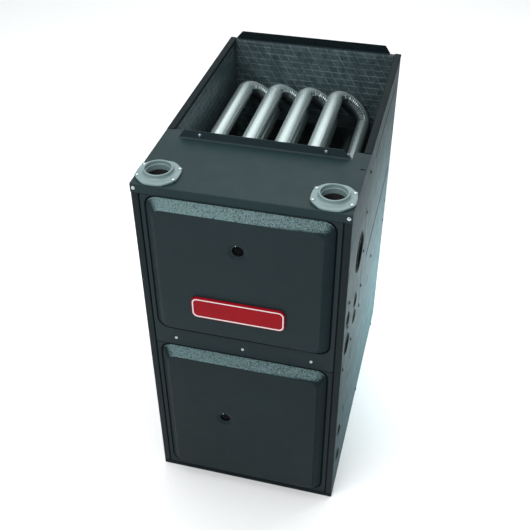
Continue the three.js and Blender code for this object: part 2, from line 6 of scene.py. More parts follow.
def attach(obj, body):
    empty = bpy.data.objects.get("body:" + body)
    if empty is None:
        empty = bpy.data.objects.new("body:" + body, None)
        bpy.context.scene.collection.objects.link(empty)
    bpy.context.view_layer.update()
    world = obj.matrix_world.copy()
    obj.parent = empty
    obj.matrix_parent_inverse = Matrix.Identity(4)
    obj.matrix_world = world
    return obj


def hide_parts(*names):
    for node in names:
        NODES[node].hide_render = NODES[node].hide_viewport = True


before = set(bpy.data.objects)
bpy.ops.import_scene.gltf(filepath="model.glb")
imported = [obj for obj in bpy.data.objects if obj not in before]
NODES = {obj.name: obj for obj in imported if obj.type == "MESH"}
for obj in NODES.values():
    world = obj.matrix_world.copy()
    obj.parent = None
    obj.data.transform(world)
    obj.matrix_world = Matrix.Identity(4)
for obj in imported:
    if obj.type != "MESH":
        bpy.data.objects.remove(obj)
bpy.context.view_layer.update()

# The furnace is laid out in millimetres from the cabinet's front left bottom corner:
# X to the right, Y to the back, Z up. S() turns that into the shared frame, in metres.
OX, OY = -222.25, -345.75
W, D, H, T = 444.5, 717.5, 876.3, 1.2
def S(x, y, z):
    return Vector(((x + OX) / 1000.0, (y + OY) / 1000.0, z / 1000.0))

TUBE_X, TUBE_Z, TUBE_BACK, TUBE_FRONT, R1, R2 = [59, 138, 217, 296], 772.0, 674.0, 262.0, 19.8, 16.0
LIP_Z, DUCT_Y, STRIP_Y, EDGE_L, EDGE_R = 856.0, 192.0, 222.0, 14.5, 422.0
STRIP_L, STRIP_R = 35.5, 409.0
DOOR_X0, DOOR_X1 = 17.5, 427.2
UP_DOOR = dict(z0=450.2, z1=855.4, p0=503.0, p1=852.0)
LOW_DOOR = dict(z0=14.2, z1=449.6, p0=28.0, p1=446.5)
PX0, PX1, PH, PR = 30.5, 414.0, 19.5, 25.0
PORT_UP, PORT_LOW = (223.0, 760.0), (178.5, 247.0)
BADGE = dict(x=221.0, z=598.5, w=204.0, h=54.0, r=13.0, t=6.2)
COLLARS = [("intake_collar", 45.0, 45.0), ("vent_collar", 399.5, 45.0)]
SIDE_HOLES = [(156, 670, 43.5), (152, 537.6, 16), (154, 486, 16), (42, 578, 15), (55, 492, 25), (42, 216, 14), (48.5, 115, 15)]

# ------------------------------------------------------------------ camera
CAM = dict(az=0.2552784, el=0.6827071, roll=-0.0049793, pos=(595.283, -1228.528, 1756.400), lens=55.24)
def add_camera():
    az, el, ro = CAM["az"], CAM["el"], CAM["roll"]
    f = Vector((-math.sin(az) * math.cos(el), math.cos(az) * math.cos(el), -math.sin(el)))
    r = f.cross(Vector((0, 0, 1))).normalized()
    u = r.cross(f)
    c, s = math.cos(ro), math.sin(ro)
    r, u = r * c + u * s, u * c - r * s
    cam = bpy.data.objects.new("camera", bpy.data.cameras.new("camera"))
    bpy.context.scene.collection.objects.link(cam)
    m = Matrix((r, u, -f)).transposed().to_4x4()
    m.translation = S(*CAM["pos"])
    cam.matrix_world = m
    cam.data.lens = CAM["lens"]
    cam.data.sensor_width = 36.0
    cam.data.sensor_fit = "HORIZONTAL"
    cam.data.clip_start, cam.data.clip_end = 0.05, 50
    bpy.context.scene.camera = cam
add_camera()

# --------------------------------------------------------------- materials
def new_mat(name):
    m = bpy.data.materials.new(name)
    m.use_nodes = True
    nt = m.node_tree
    return m, nt, nt.nodes["Principled BSDF"]

def node(nt, kind, **kw):
    n = nt.nodes.new(kind)
    for k, v in kw.items():
        if k in ("operation", "blend_type", "data_type", "feature", "distance", "noise_dimensions", "voronoi_dimensions", "interpolation", "wave_type", "bands_direction", "use_clamp", "clamp", "invert", "wave_profile"):
            setattr(n, k, v)
        else:
            n.inputs[k.replace("_", " ")].default_value = v
    return n

def coords(nt, scale=(1, 1, 1), rot=(0, 0, 0)):
    t = nt.nodes.new("ShaderNodeTexCoord")
    mp = nt.nodes.new("ShaderNodeMapping")
    mp.inputs["Scale"].default_value = scale
    mp.inputs["Rotation"].default_value = rot
    nt.links.new(t.outputs["Object"], mp.inputs["Vector"])
    return mp.outputs["Vector"]

def noise_tex(nt, vec, scale, detail=2.0, rough=0.5):
    n = node(nt, "ShaderNodeTexNoise", Scale=scale, Detail=detail, Roughness=rough)
    nt.links.new(vec, n.inputs["Vector"])
    return n.outputs["Fac"]

def ramp(nt, fac, stops):
    r = nt.nodes.new("ShaderNodeValToRGB")
    el = r.color_ramp.elements
    while len(el) > len(stops):
        el.remove(el[-1])
    while len(el) < len(stops):
        el.new(0.5)
    for e, (p, c) in zip(el, stops):
        e.position = p
        e.color = (*c, 1) if len(c) == 3 else c
    nt.links.new(fac, r.inputs["Fac"])
    return r.outputs["Color"]

def grey(v):
    return (v, v, v)

def maprange(nt, fac, a, b, lo, hi):
    m = nt.nodes.new("ShaderNodeMapRange")
    m.inputs["From Min"].default_value = a
    m.inputs["From Max"].default_value = b
    m.inputs["To Min"].default_value = lo
    m.inputs["To Max"].default_value = hi
    nt.links.new(fac, m.inputs["Value"])
    return m.outputs["Result"]

def math_node(nt, op, a, b=None):
    m = nt.nodes.new("ShaderNodeMath")
    m.operation = op
    for i, v in enumerate((a, b)):
        if v is None:
            continue
        if isinstance(v, (int, float)):
            m.inputs[i].default_value = v
        else:
            nt.links.new(v, m.inputs[i])
    return m.outputs[0]

def bump(nt, height, strength, distance, normal=None):
    b = nt.nodes.new("ShaderNodeBump")
    b.inputs["Strength"].default_value = strength
    b.inputs["Distance"].default_value = distance
    nt.links.new(height, b.inputs["Height"])
    if normal is not None:
        nt.links.new(normal, b.inputs["Normal"])
    return b.outputs["Normal"]

def scale_col(c, k):
    return tuple(min(1.0, x * k) for x in c)

def painted(name, base, rough=0.45, orange=0.10, vary=0.10, spec=0.5, fine=700.0):
    """Powder-coated sheet: orange peel, faint mottling in colour and gloss."""
    m, nt, p = new_mat(name)
    vec = coords(nt)
    big = noise_tex(nt, vec, 5.0, 3.0)
    mid = noise_tex(nt, vec, 90.0, 3.0)
    mix = math_node(nt, "ADD", math_node(nt, "MULTIPLY", big, 0.7), math_node(nt, "MULTIPLY", mid, 0.3))
    nt.links.new(ramp(nt, mix, [(0.3, scale_col(base, 1 - vary)), (0.7, scale_col(base, 1 + vary))]), p.inputs["Base Color"])
    nt.links.new(maprange(nt, noise_tex(nt, vec, 30.0, 4.0), 0.3, 0.7, rough - 0.05, rough + 0.05), p.inputs["Roughness"])
    nt.links.new(bump(nt, noise_tex(nt, vec, fine, 2.0), orange, 0.0004), p.inputs["Normal"])
    p.inputs["Specular IOR Level"].default_value = spec
    return m

def hammered_paint_and_painted_highlight(name, base, light, rough=0.42, lo=0.41, hi=0.50):
    """Door paint on the pressed bevel: smooth dark on the upright sides, a hammered bump all over, and a painted
    highlight where the bevel faces up: a light speckled colour standing in for the light falling on the upward faces.
    """
    m, nt, p = new_mat(name)
    vec = coords(nt)
    geo = nt.nodes.new("ShaderNodeNewGeometry")
    sep = nt.nodes.new("ShaderNodeSeparateXYZ")
    nt.links.new(geo.outputs["True Normal"], sep.inputs[0])
    # painted highlight: the colour turns to the light speckle as the surface turns to face up, whatever the lamps
    up = maprange(nt, sep.outputs[2], 0.42, 0.66, 0.0, 1.0)
    v = node(nt, "ShaderNodeTexVoronoi", Scale=300.0, feature="SMOOTH_F1")
    v.inputs["Smoothness"].default_value = 0.5
    nt.links.new(vec, v.inputs["Vector"])
    n = noise_tex(nt, vec, 430.0, 3.0, 0.6)
    h = math_node(nt, "ADD", math_node(nt, "MULTIPLY", v.outputs["Distance"], 1.2), math_node(nt, "MULTIPLY", n, 0.7))
    spx = nt.nodes.new("ShaderNodeSeparateXYZ")
    nt.links.new(vec, spx.inputs[0])
    # more and deeper speckle towards the right
    right = maprange(nt, spx.outputs[0], -0.18, 0.17, lo, hi)
    sp = maprange(nt, math_node(nt, "SUBTRACT", noise_tex(nt, vec, 420.0, 2.0, 0.6), right), -0.09, 0.06, 0.0, 1.0)
    painted_highlight_speckle = ramp(nt, sp, [(0.0, scale_col(light, 0.28)), (1.0, light)])
    mix = nt.nodes.new("ShaderNodeMix"); mix.data_type = "RGBA"
    nt.links.new(up, mix.inputs["Factor"])
    nt.links.new(ramp(nt, noise_tex(nt, vec, 40.0, 3.0), [(0.3, scale_col(base, 0.9)), (0.7, scale_col(base, 1.1))]), mix.inputs["A"])
    nt.links.new(painted_highlight_speckle, mix.inputs["B"])
    nt.links.new(mix.outputs["Result"], p.inputs["Base Color"])
    nt.links.new(maprange(nt, noise_tex(nt, vec, 200.0, 3.0), 0.3, 0.7, rough - 0.07, rough + 0.1), p.inputs["Roughness"])
    nt.links.new(bump(nt, math_node(nt, "MULTIPLY", h, maprange(nt, up, 0.0, 1.0, 0.25, 1.0)), 0.5, 0.0012), p.inputs["Normal"])
    p.inputs["Specular IOR Level"].default_value = 0.035
    return m

def galvanised(name, base=(0.47, 0.5, 0.5), rough=0.42):
    m, nt, p = new_mat(name)
    vec = coords(nt)
    v = node(nt, "ShaderNodeTexVoronoi", Scale=95.0)
    nt.links.new(vec, v.inputs["Vector"])
    cell = node(nt, "ShaderNodeSeparateColor")
    nt.links.new(v.outputs["Color"], cell.inputs["Color"])
    nt.links.new(ramp(nt, cell.outputs["Red"], [(0.0, scale_col(base, 0.82)), (1.0, scale_col(base, 1.15))]), p.inputs["Base Color"])
    nt.links.new(maprange(nt, cell.outputs["Green"], 0.0, 1.0, rough - 0.08, rough + 0.1), p.inputs["Roughness"])
    nt.links.new(bump(nt, noise_tex(nt, vec, 300.0, 2.0), 0.08, 0.0003), p.inputs["Normal"])
    p.inputs["Metallic"].default_value = 0.9
    return m

def metal(name, base, rough, streak=None, vary=0.06, bumpy=0.05):
    """Bare or plated metal, with drawing marks along one axis if streak is given."""
    m, nt, p = new_mat(name)
    vec = coords(nt, streak or (1, 1, 1))
    n = noise_tex(nt, vec, 160.0, 4.0, 0.6)
    nt.links.new(ramp(nt, n, [(0.3, scale_col(base, 1 - vary)), (0.7, scale_col(base, 1 + vary))]), p.inputs["Base Color"])
    nt.links.new(maprange(nt, n, 0.25, 0.75, rough - 0.06, rough + 0.07), p.inputs["Roughness"])
    nt.links.new(bump(nt, n, bumpy, 0.0003), p.inputs["Normal"])
    p.inputs["Metallic"].default_value = 1.0
    return m

def moulded(name, base, rough=0.5, grain=0.12, vary=0.08, coat=0.0, scale=900.0):
    m, nt, p = new_mat(name)
    vec = coords(nt)
    n = noise_tex(nt, vec, scale, 3.0)
    b = noise_tex(nt, vec, 25.0, 3.0)
    nt.links.new(ramp(nt, b, [(0.3, scale_col(base, 1 - vary)), (0.7, scale_col(base, 1 + vary))]), p.inputs["Base Color"])
    nt.links.new(maprange(nt, b, 0.3, 0.7, rough - 0.05, rough + 0.05), p.inputs["Roughness"])
    nt.links.new(bump(nt, n, grain, 0.0003), p.inputs["Normal"])
    p.inputs["Coat Weight"].default_value = coat
    return m

MAT = {}
MAT["door"] = painted("door_paint", (0.0105, 0.0205, 0.0240), 0.48, 0.05, spec=0.13)
# painted shade: the lower door's paint and bevel paint are darker copies of the upper door's, standing in for the
# dimmer light low on the front; the bevel paint also carries the painted highlight where it faces up
MAT["door_low"] = painted("lower_door_paint_painted_shade", (0.0078, 0.0160, 0.0185), 0.48, 0.05, spec=0.11)
MAT["bevel_low_painted_shade"] = hammered_paint_and_painted_highlight("lower_door_bevel_painted_highlight", (0.0078, 0.0160, 0.0185), (0.128, 0.200, 0.206), lo=0.468, hi=0.498)
MAT["crease"] = painted("crease_shadow_paint", (0.003, 0.005, 0.006), 0.7, 0.0, spec=0.02)
# painted highlight: this bevel paint turns light where the bevel faces up
MAT["bevel"] = hammered_paint_and_painted_highlight("door_bevel_painted_highlight", (0.0105, 0.0205, 0.0240), (0.118, 0.182, 0.188))
MAT["panel"] = painted("top_paint", (0.0112, 0.0262, 0.0290), 0.48, 0.05, spec=0.15)
# painted light: the side walls, the back sheet and the rear corner folds take a lighter copy of the cabinet paint,
# standing in for the stronger light on the sides
MAT["side"] = painted("side_painted_light", (0.0225, 0.0410, 0.0455), 0.58, 0.05, spec=0.05)
# painted shade: the top flanges, the rear duct flange, the floor flanges and the base rail take a darker copy of the
# cabinet paint, standing in for the shade on them
MAT["flange"] = painted("flange_painted_shade", (0.006, 0.011, 0.013), 0.55, 0.05, spec=0.06)
MAT["frame"] = painted("frame_paint", (0.0085, 0.0150, 0.0175), 0.48, 0.05, spec=0.1)
MAT["duct"] = painted("duct_flange_paint", (0.0185, 0.0320, 0.0370), 0.5, 0.05, spec=0.12)
MAT["darkscrew"] = metal("blackened_screw", (0.016, 0.020, 0.022), 0.5)
MAT["galv"] = galvanised("galvanised_sheet")
# a darker galvanised sheet, used on the vestibule partition
MAT["galv_dull"] = galvanised("darker_galvanised_sheet", (0.22, 0.24, 0.24), 0.5)
def tube_metal():
    """Aluminised tube: bright on the upper pass, with painted shade on the passes below it: the colour darkens with
    height, standing in for the shade down there.
    """
    m, nt, p = new_mat("aluminised_tube")
    vec = coords(nt, (1.0, 0.12, 1.0))
    geo = nt.nodes.new("ShaderNodeNewGeometry")
    sep = nt.nodes.new("ShaderNodeSeparateXYZ")
    nt.links.new(geo.outputs["Position"], sep.inputs[0])
    # painted shade: the base colour falls from bright to near black with world height below the upper pass
    z = maprange(nt, sep.outputs[2], (TUBE_Z - 112) / 1000.0, (TUBE_Z - 22) / 1000.0, 0.0, 1.0)
    c = ramp(nt, z, [(0.0, (0.035, 0.045, 0.048)), (0.42, (0.075, 0.095, 0.10)), (0.72, (0.20, 0.25, 0.255)), (1.0, (0.47, 0.555, 0.555))])
    nt.links.new(c, p.inputs["Base Color"])
    n = noise_tex(nt, vec, 120.0, 3.0, 0.5)
    nt.links.new(maprange(nt, n, 0.3, 0.7, 0.235, 0.265), p.inputs["Roughness"])
    p.inputs["Metallic"].default_value = 0.72
    # drawn tube: the sheen is stretched along each run and stays narrow across it
    g = nt.nodes.new("ShaderNodeTangent")
    g.direction_type, g.axis = "RADIAL", "Y"
    nt.links.new(g.outputs[0], p.inputs["Tangent"])
    p.inputs["Anisotropic"].default_value = 0.9
    p.inputs["Anisotropic Rotation"].default_value = 0.25
    return m
MAT["tube"] = tube_metal()
MAT["crimp"] = metal("crimped_tube", (0.42, 0.50, 0.50), 0.26)
MAT["tube_dark"] = metal("steel_header", (0.30, 0.34, 0.35), 0.4)
# heat darkened steel on the rear header; on the folded inside of the tube bends it is painted shade
MAT["darkmetal"] = metal("heat_darkened_steel_and_painted_bend_shade", (0.07, 0.085, 0.09), 0.5)
MAT["zinc_and_painted_glint"] = metal("zinc_plate", (0.62, 0.66, 0.67), 0.28)
MAT["brass"] = metal("brass", (0.60, 0.43, 0.18), 0.28)
MAT["fin"] = metal("fin_stock", (0.20, 0.23, 0.24), 0.5)
MAT["collar"] = moulded("collar_plastic", (0.150, 0.215, 0.220), 0.42, 0.10, 0.07)
MAT["red"] = moulded("badge_red", (0.255, 0.0035, 0.009), 0.34, 0.02, 0.06, 0.0)
MAT["red"].node_tree.nodes["Principled BSDF"].inputs["Specular IOR Level"].default_value = 0.08
MAT["pale"] = moulded("badge_border", (0.70, 0.62, 0.62), 0.35, 0.02, 0.04)
MAT["lens"] = moulded("lens_dark", (0.0012, 0.0018, 0.0020), 0.3, 0.0, 0.05, 0.0)
MAT["lens"].node_tree.nodes["Principled BSDF"].inputs["Specular IOR Level"].default_value = 0.03
MAT["black"] = moulded("black_plastic", (0.018, 0.020, 0.021), 0.48, 0.15)
MAT["enamel"] = painted("black_enamel", (0.014, 0.016, 0.017), 0.35, 0.08)
# black rubber, also used as painted shade inside the collar sockets
MAT["rubber"] = moulded("rubber", (0.012, 0.012, 0.013), 0.72, 0.2)
# partly painted shade: the grommet rubber is darker than the other rubber so the lining inside each side hole reads as
# shade
MAT["grommet_and_hole_shade"] = moulded("black_grommet_painted_hole_shade", (0.0035, 0.0055, 0.006), 0.5, 0.1)
MAT["grommet_and_hole_shade"].node_tree.nodes["Principled BSDF"].inputs["Specular IOR Level"].default_value = 0.12
MAT["ceramic"] = moulded("ceramic", (0.66, 0.65, 0.60), 0.4, 0.06)
MAT["redbtn"] = moulded("red_plastic", (0.42, 0.022, 0.020), 0.35, 0.04, 0.05, 0.3)
MAT["greyp"] = moulded("grey_plastic", (0.16, 0.17, 0.18), 0.5, 0.12)

def foil_material():
    """Foil scrim facing: dark reflective foil with a pale staggered net of reinforcing yarn."""
    m, nt, p = new_mat("foil_scrim")
    # net in the two directions of each panel: u runs along the wall, v runs up it
    t = nt.nodes.new("ShaderNodeTexCoord")
    sep = nt.nodes.new("ShaderNodeSeparateXYZ")
    nt.links.new(t.outputs["UV"], sep.inputs[0])
    u, v = sep.outputs[0], sep.outputs[1]
    def lines(x, pitch, width):
        f = math_node(nt, "FRACT", math_node(nt, "DIVIDE", x, pitch))
        d = math_node(nt, "ABSOLUTE", math_node(nt, "SUBTRACT", f, 0.5))
        return maprange(nt, d, 0.5 - width / pitch, 0.5 - 0.3 * width / pitch, 0.0, 1.0)
    lean = math_node(nt, "SUBTRACT", u, math_node(nt, "MULTIPLY", v, -0.62))
    vec = coords(nt)
    gap = lambda sc, lo: maprange(nt, noise_tex(nt, coords(nt, sc), 70.0, 2.0), 0.42, 0.56, lo, 1.0)
    a = math_node(nt, "MULTIPLY", lines(v, 16.5, 1.5), gap((1, 1, 3), 0.35))
    b = math_node(nt, "MULTIPLY", lines(lean, 24.0, 1.4), gap((3, 3, 1), 0.3))
    c = lines(math_node(nt, "ADD", u, math_node(nt, "MULTIPLY", v, 0.0)), 92.0, 1.1)
    net = math_node(nt, "MAXIMUM", math_node(nt, "MAXIMUM", a, b), math_node(nt, "MULTIPLY", c, 0.3))
    patch = noise_tex(nt, vec, 22.0, 3.0)
    net = math_node(nt, "MULTIPLY", net, maprange(nt, patch, 0.3, 0.6, 0.45, 1.0))
    fleck = maprange(nt, noise_tex(nt, vec, 380.0, 2.0, 0.7), 0.56, 0.70, 0.0, 0.42)
    net = math_node(nt, "MAXIMUM", net, fleck)
    foil = ramp(nt, noise_tex(nt, vec, 60.0, 4.0), [(0.3, (0.034, 0.055, 0.062)), (0.7, (0.078, 0.115, 0.124))])
    mix = nt.nodes.new("ShaderNodeMix")
    mix.data_type = "RGBA"
    nt.links.new(net, mix.inputs["Factor"])
    nt.links.new(foil, mix.inputs["A"])
    mix.inputs["B"].default_value = (0.21, 0.28, 0.29, 1)
    nt.links.new(mix.outputs["Result"], p.inputs["Base Color"])
    h = math_node(nt, "ADD", math_node(nt, "MULTIPLY", net, 0.6), math_node(nt, "MULTIPLY", noise_tex(nt, vec, 45.0, 3.0), 0.8))
    nt.links.new(bump(nt, h, 0.5, 0.001), p.inputs["Normal"])
    nt.links.new(maprange(nt, patch, 0.3, 0.7, 0.34, 0.5), p.inputs["Roughness"])
    p.inputs["Metallic"].default_value = 0.55
    return m
MAT["foil"] = foil_material()

# ----------------------------------------------------------- mesh building
def finish_mesh(o, angle=35.0):
    me = o.data
    me.shade_smooth()
    me.set_sharp_from_angle(angle=math.radians(angle))
    return o

def build(name, verts, faces, mats, body, face_mat=None, angle=35.0, solid=None, weighted=False, bevel=None, weld=None, uvs=None, replaces=(), slot=None):
    """verts in millimetres of the cabinet; faces by index; mats a list of MAT keys."""
    me = bpy.data.meshes.new(name)
    me.from_pydata([S(*v) for v in verts], [], faces)
    for k in mats:
        me.materials.append(MAT[k])
    if face_mat is not None:
        me.polygons.foreach_set("material_index", face_mat)
    if uvs is not None:
        lay = me.uv_layers.new(name="UVMap")
        for li, loop in enumerate(me.loops):
            lay.data[li].uv = uvs[loop.vertex_index]
    me.validate()
    if weld:
        b = bmesh.new(); b.from_mesh(me)
        bmesh.ops.remove_doubles(b, verts=b.verts, dist=weld / 1000.0)
        b.to_mesh(me); b.free()
    me.update()
    o = bpy.data.objects.new(name, me)
    bpy.context.scene.collection.objects.link(o)
    finish_mesh(o, angle)
    if solid:
        s = o.modifiers.new("thickness", "SOLIDIFY")
        s.thickness = abs(solid) / 1000.0
        s.offset = 1.0 if solid > 0 else -1.0
        s.use_even_offset = True
        s.use_quality_normals = True
    if bevel:
        bv = o.modifiers.new("edge", "BEVEL")
        bv.width = bevel / 1000.0
        bv.segments = 2
        bv.limit_method = "ANGLE"
        bv.angle_limit = math.radians(40)
        bv.harden_normals = False
    if weighted:
        wn = o.modifiers.new("normals", "WEIGHTED_NORMAL")
        wn.keep_sharp = True
        wn.weight = 90
    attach(o, body)
    if replaces:
        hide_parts(*replaces)
    return o

class Parts:
    """Collects several shapes into one mesh."""
    def __init__(self):
        self.v, self.f, self.m, self.uv = [], [], [], []
    def add(self, verts, faces, mat=0, flip=False, uvs=None):
        n = len(self.v)
        self.v += [tuple(v) for v in verts]
        self.uv += list(uvs) if uvs else [(0.0, 0.0)] * len(verts)
        for f in faces:
            g = [i + n for i in f]
            self.f.append(g[::-1] if flip else g)
            self.m.append(mat)
        return self
    def make(self, name, mats, body, **kw):
        uv = self.uv if kw.pop("with_uv", False) else None
        return build(name, self.v, self.f, mats, body, face_mat=self.m, uvs=uv, **kw)

def rrect(u0, u1, v0, v1, r, nc=8, nu=1, nv=1):
    """Rounded rectangle, counter-clockwise, starting on the bottom edge; even counts on each side."""
    pts = []
    def arc(cu, cv, a0):
        for i in range(nc):
            a = math.radians(a0 + 90.0 * i / nc)
            pts.append((cu + r * math.cos(a), cv + r * math.sin(a)))
    def line(a, b, n):
        for i in range(n):
            t = i / n
            pts.append((a[0] + (b[0] - a[0]) * t, a[1] + (b[1] - a[1]) * t))
    line((u0 + r, v0), (u1 - r, v0), nu); arc(u1 - r, v0 + r, -90)
    line((u1, v0 + r), (u1, v1 - r), nv); arc(u1 - r, v1 - r, 0)
    line((u1 - r, v1), (u0 + r, v1), nu); arc(u0 + r, v1 - r, 90)
    line((u0, v1 - r), (u0, v0 + r), nv); arc(u0 + r, v0 + r, 180)
    return pts

def circle(cu, cv, r, n, a0=0.0):
    return [(cu + r * math.cos(a0 + 2 * math.pi * i / n), cv + r * math.sin(a0 + 2 * math.pi * i / n)) for i in range(n)]

def bands(rings, closed=True):
    """Quads between rings of equal length. rings is a list of lists of 3-D points."""
    n = len(rings[0])
    v = [p for r in rings for p in r]
    f = []
    for k in range(len(rings) - 1):
        for i in range(n if closed else n - 1):
            a, b = k * n + i, k * n + (i + 1) % n
            f.append((a, b, b + n, a + n))
    return v, f

def inside(pt, loop):
    x, y = pt
    c = False
    j = len(loop) - 1
    for i in range(len(loop)):
        xi, yi = loop[i]; xj, yj = loop[j]
        if (yi > y) != (yj > y) and x < (xj - xi) * (y - yi) / (yj - yi) + xi:
            c = not c
        j = i
    return c

def flat(outline, holes=(), inner=()):
    """Triangulates a flat outline with holes. inner is [(loop, height), ...] of nested loops
    that stand out of the plane by that height. Returns 2-D points with heights, and faces."""
    pts, hs, loops = [], [], []
    for loop, h in [(outline, 0.0)] + [(l, 0.0) for l in holes] + list(inner):
        loops.append(list(range(len(pts), len(pts) + len(loop))))
        pts += [Vector(p) for p in loop]
        hs += [h] * len(loop)
    edges = [(l[i], l[(i + 1) % len(l)]) for l in loops for i in range(len(l))]
    v, e, f, ov, oe, of_ = delaunay_2d_cdt(pts, edges, [loops[0]], 1, 1e-4)
    out = [(p[0], p[1], hs[o[0]] if o else 0.0) for p, o in zip(v, ov)]
    keep = []
    for t in f:
        c = (sum(v[i][0] for i in t) / len(t), sum(v[i][1] for i in t) / len(t))
        if not any(inside(c, h) for h in holes):
            # counter-clockwise
            a = sum(v[t[i]][0] * v[t[(i + 1) % len(t)]][1] - v[t[(i + 1) % len(t)]][0] * v[t[i]][1] for i in range(len(t)))
            keep.append(tuple(t) if a > 0 else tuple(reversed(t)))
    return out, keep

def lathe(profile, n, place, closed=False):
    """profile of (radius, height) pairs; place maps (x, y, height) to a point."""
    rings = [[place(r * math.cos(2 * math.pi * i / n), r * math.sin(2 * math.pi * i / n), h) for i in range(n)] for r, h in profile]
    v, f = bands(rings)
    if not closed:
        if profile[0][0] > 0.01:
            f.append(tuple(reversed(range(n))))
        if profile[-1][0] > 0.01:
            f.append(tuple(range((len(profile) - 1) * n, len(profile) * n)))
    return v, f

def axes_for(normal):
    n = Vector(normal).normalized()
    a = Vector((0, 0, 1)) if abs(n.z) < 0.9 else Vector((1, 0, 0))
    u = a.cross(n).normalized()
    return u, n.cross(u), n

def screw(parts, pos, normal, size=1.0, mat=0, turn=0.0, head="hex"):
    """Hex washer-head sheet screw standing on a face at pos, pointing along normal."""
    u, w, n = axes_for(normal)
    p0 = Vector(pos)
    def place(x, y, h):
        c, s = math.cos(turn), math.sin(turn)
        return tuple(p0 + u * ((x * c - y * s) * size) + w * ((x * s + y * c) * size) + n * (h * size))
    v, f = lathe([(5.4, -0.1), (5.6, 0.25), (5.3, 0.75), (4.6, 1.0), (3.2, 1.05)], 24, place)
    parts.add(v, f[:-2], mat)
    if head == "hex":
        def hexring(r, h, rnd):
            out = []
            for k in range(6):
                for d in (-rnd, 0, rnd):
                    a = math.radians(60 * k) + d
                    out.append(place(r * math.cos(a) * (1 if d == 0 else 0.985), r * math.sin(a) * (1 if d == 0 else 0.985), h))
            return out
        rr = [hexring(3.7, 0.9, 0.12), hexring(3.7, 3.3, 0.12), hexring(3.45, 3.8, 0.16), hexring(3.0, 4.0, 0.2), hexring(1.7, 3.6, 0.2)]
        v, f = bands(rr)
        f.append(tuple(range(4 * 18, 5 * 18)))
        parts.add(v, f, mat)
    else:
        v, f = lathe([(3.6, 0.9), (3.5, 1.7), (2.6, 2.5), (1.2, 2.85), (0.0, 2.9)], 20, place)
        parts.add(v, f, mat)

# -------------------------------------------------------------------- doors
def hammer(u, v, seed):
    """Height of the hammered surface at a point, in millimetres."""
    p = Vector((u / 7.0, v / 7.0, seed))
    a = noise.noise(p) * 0.55 + noise.noise(p * 2.1) * 0.4 + noise.noise(p * 4.3) * 0.2
    return a

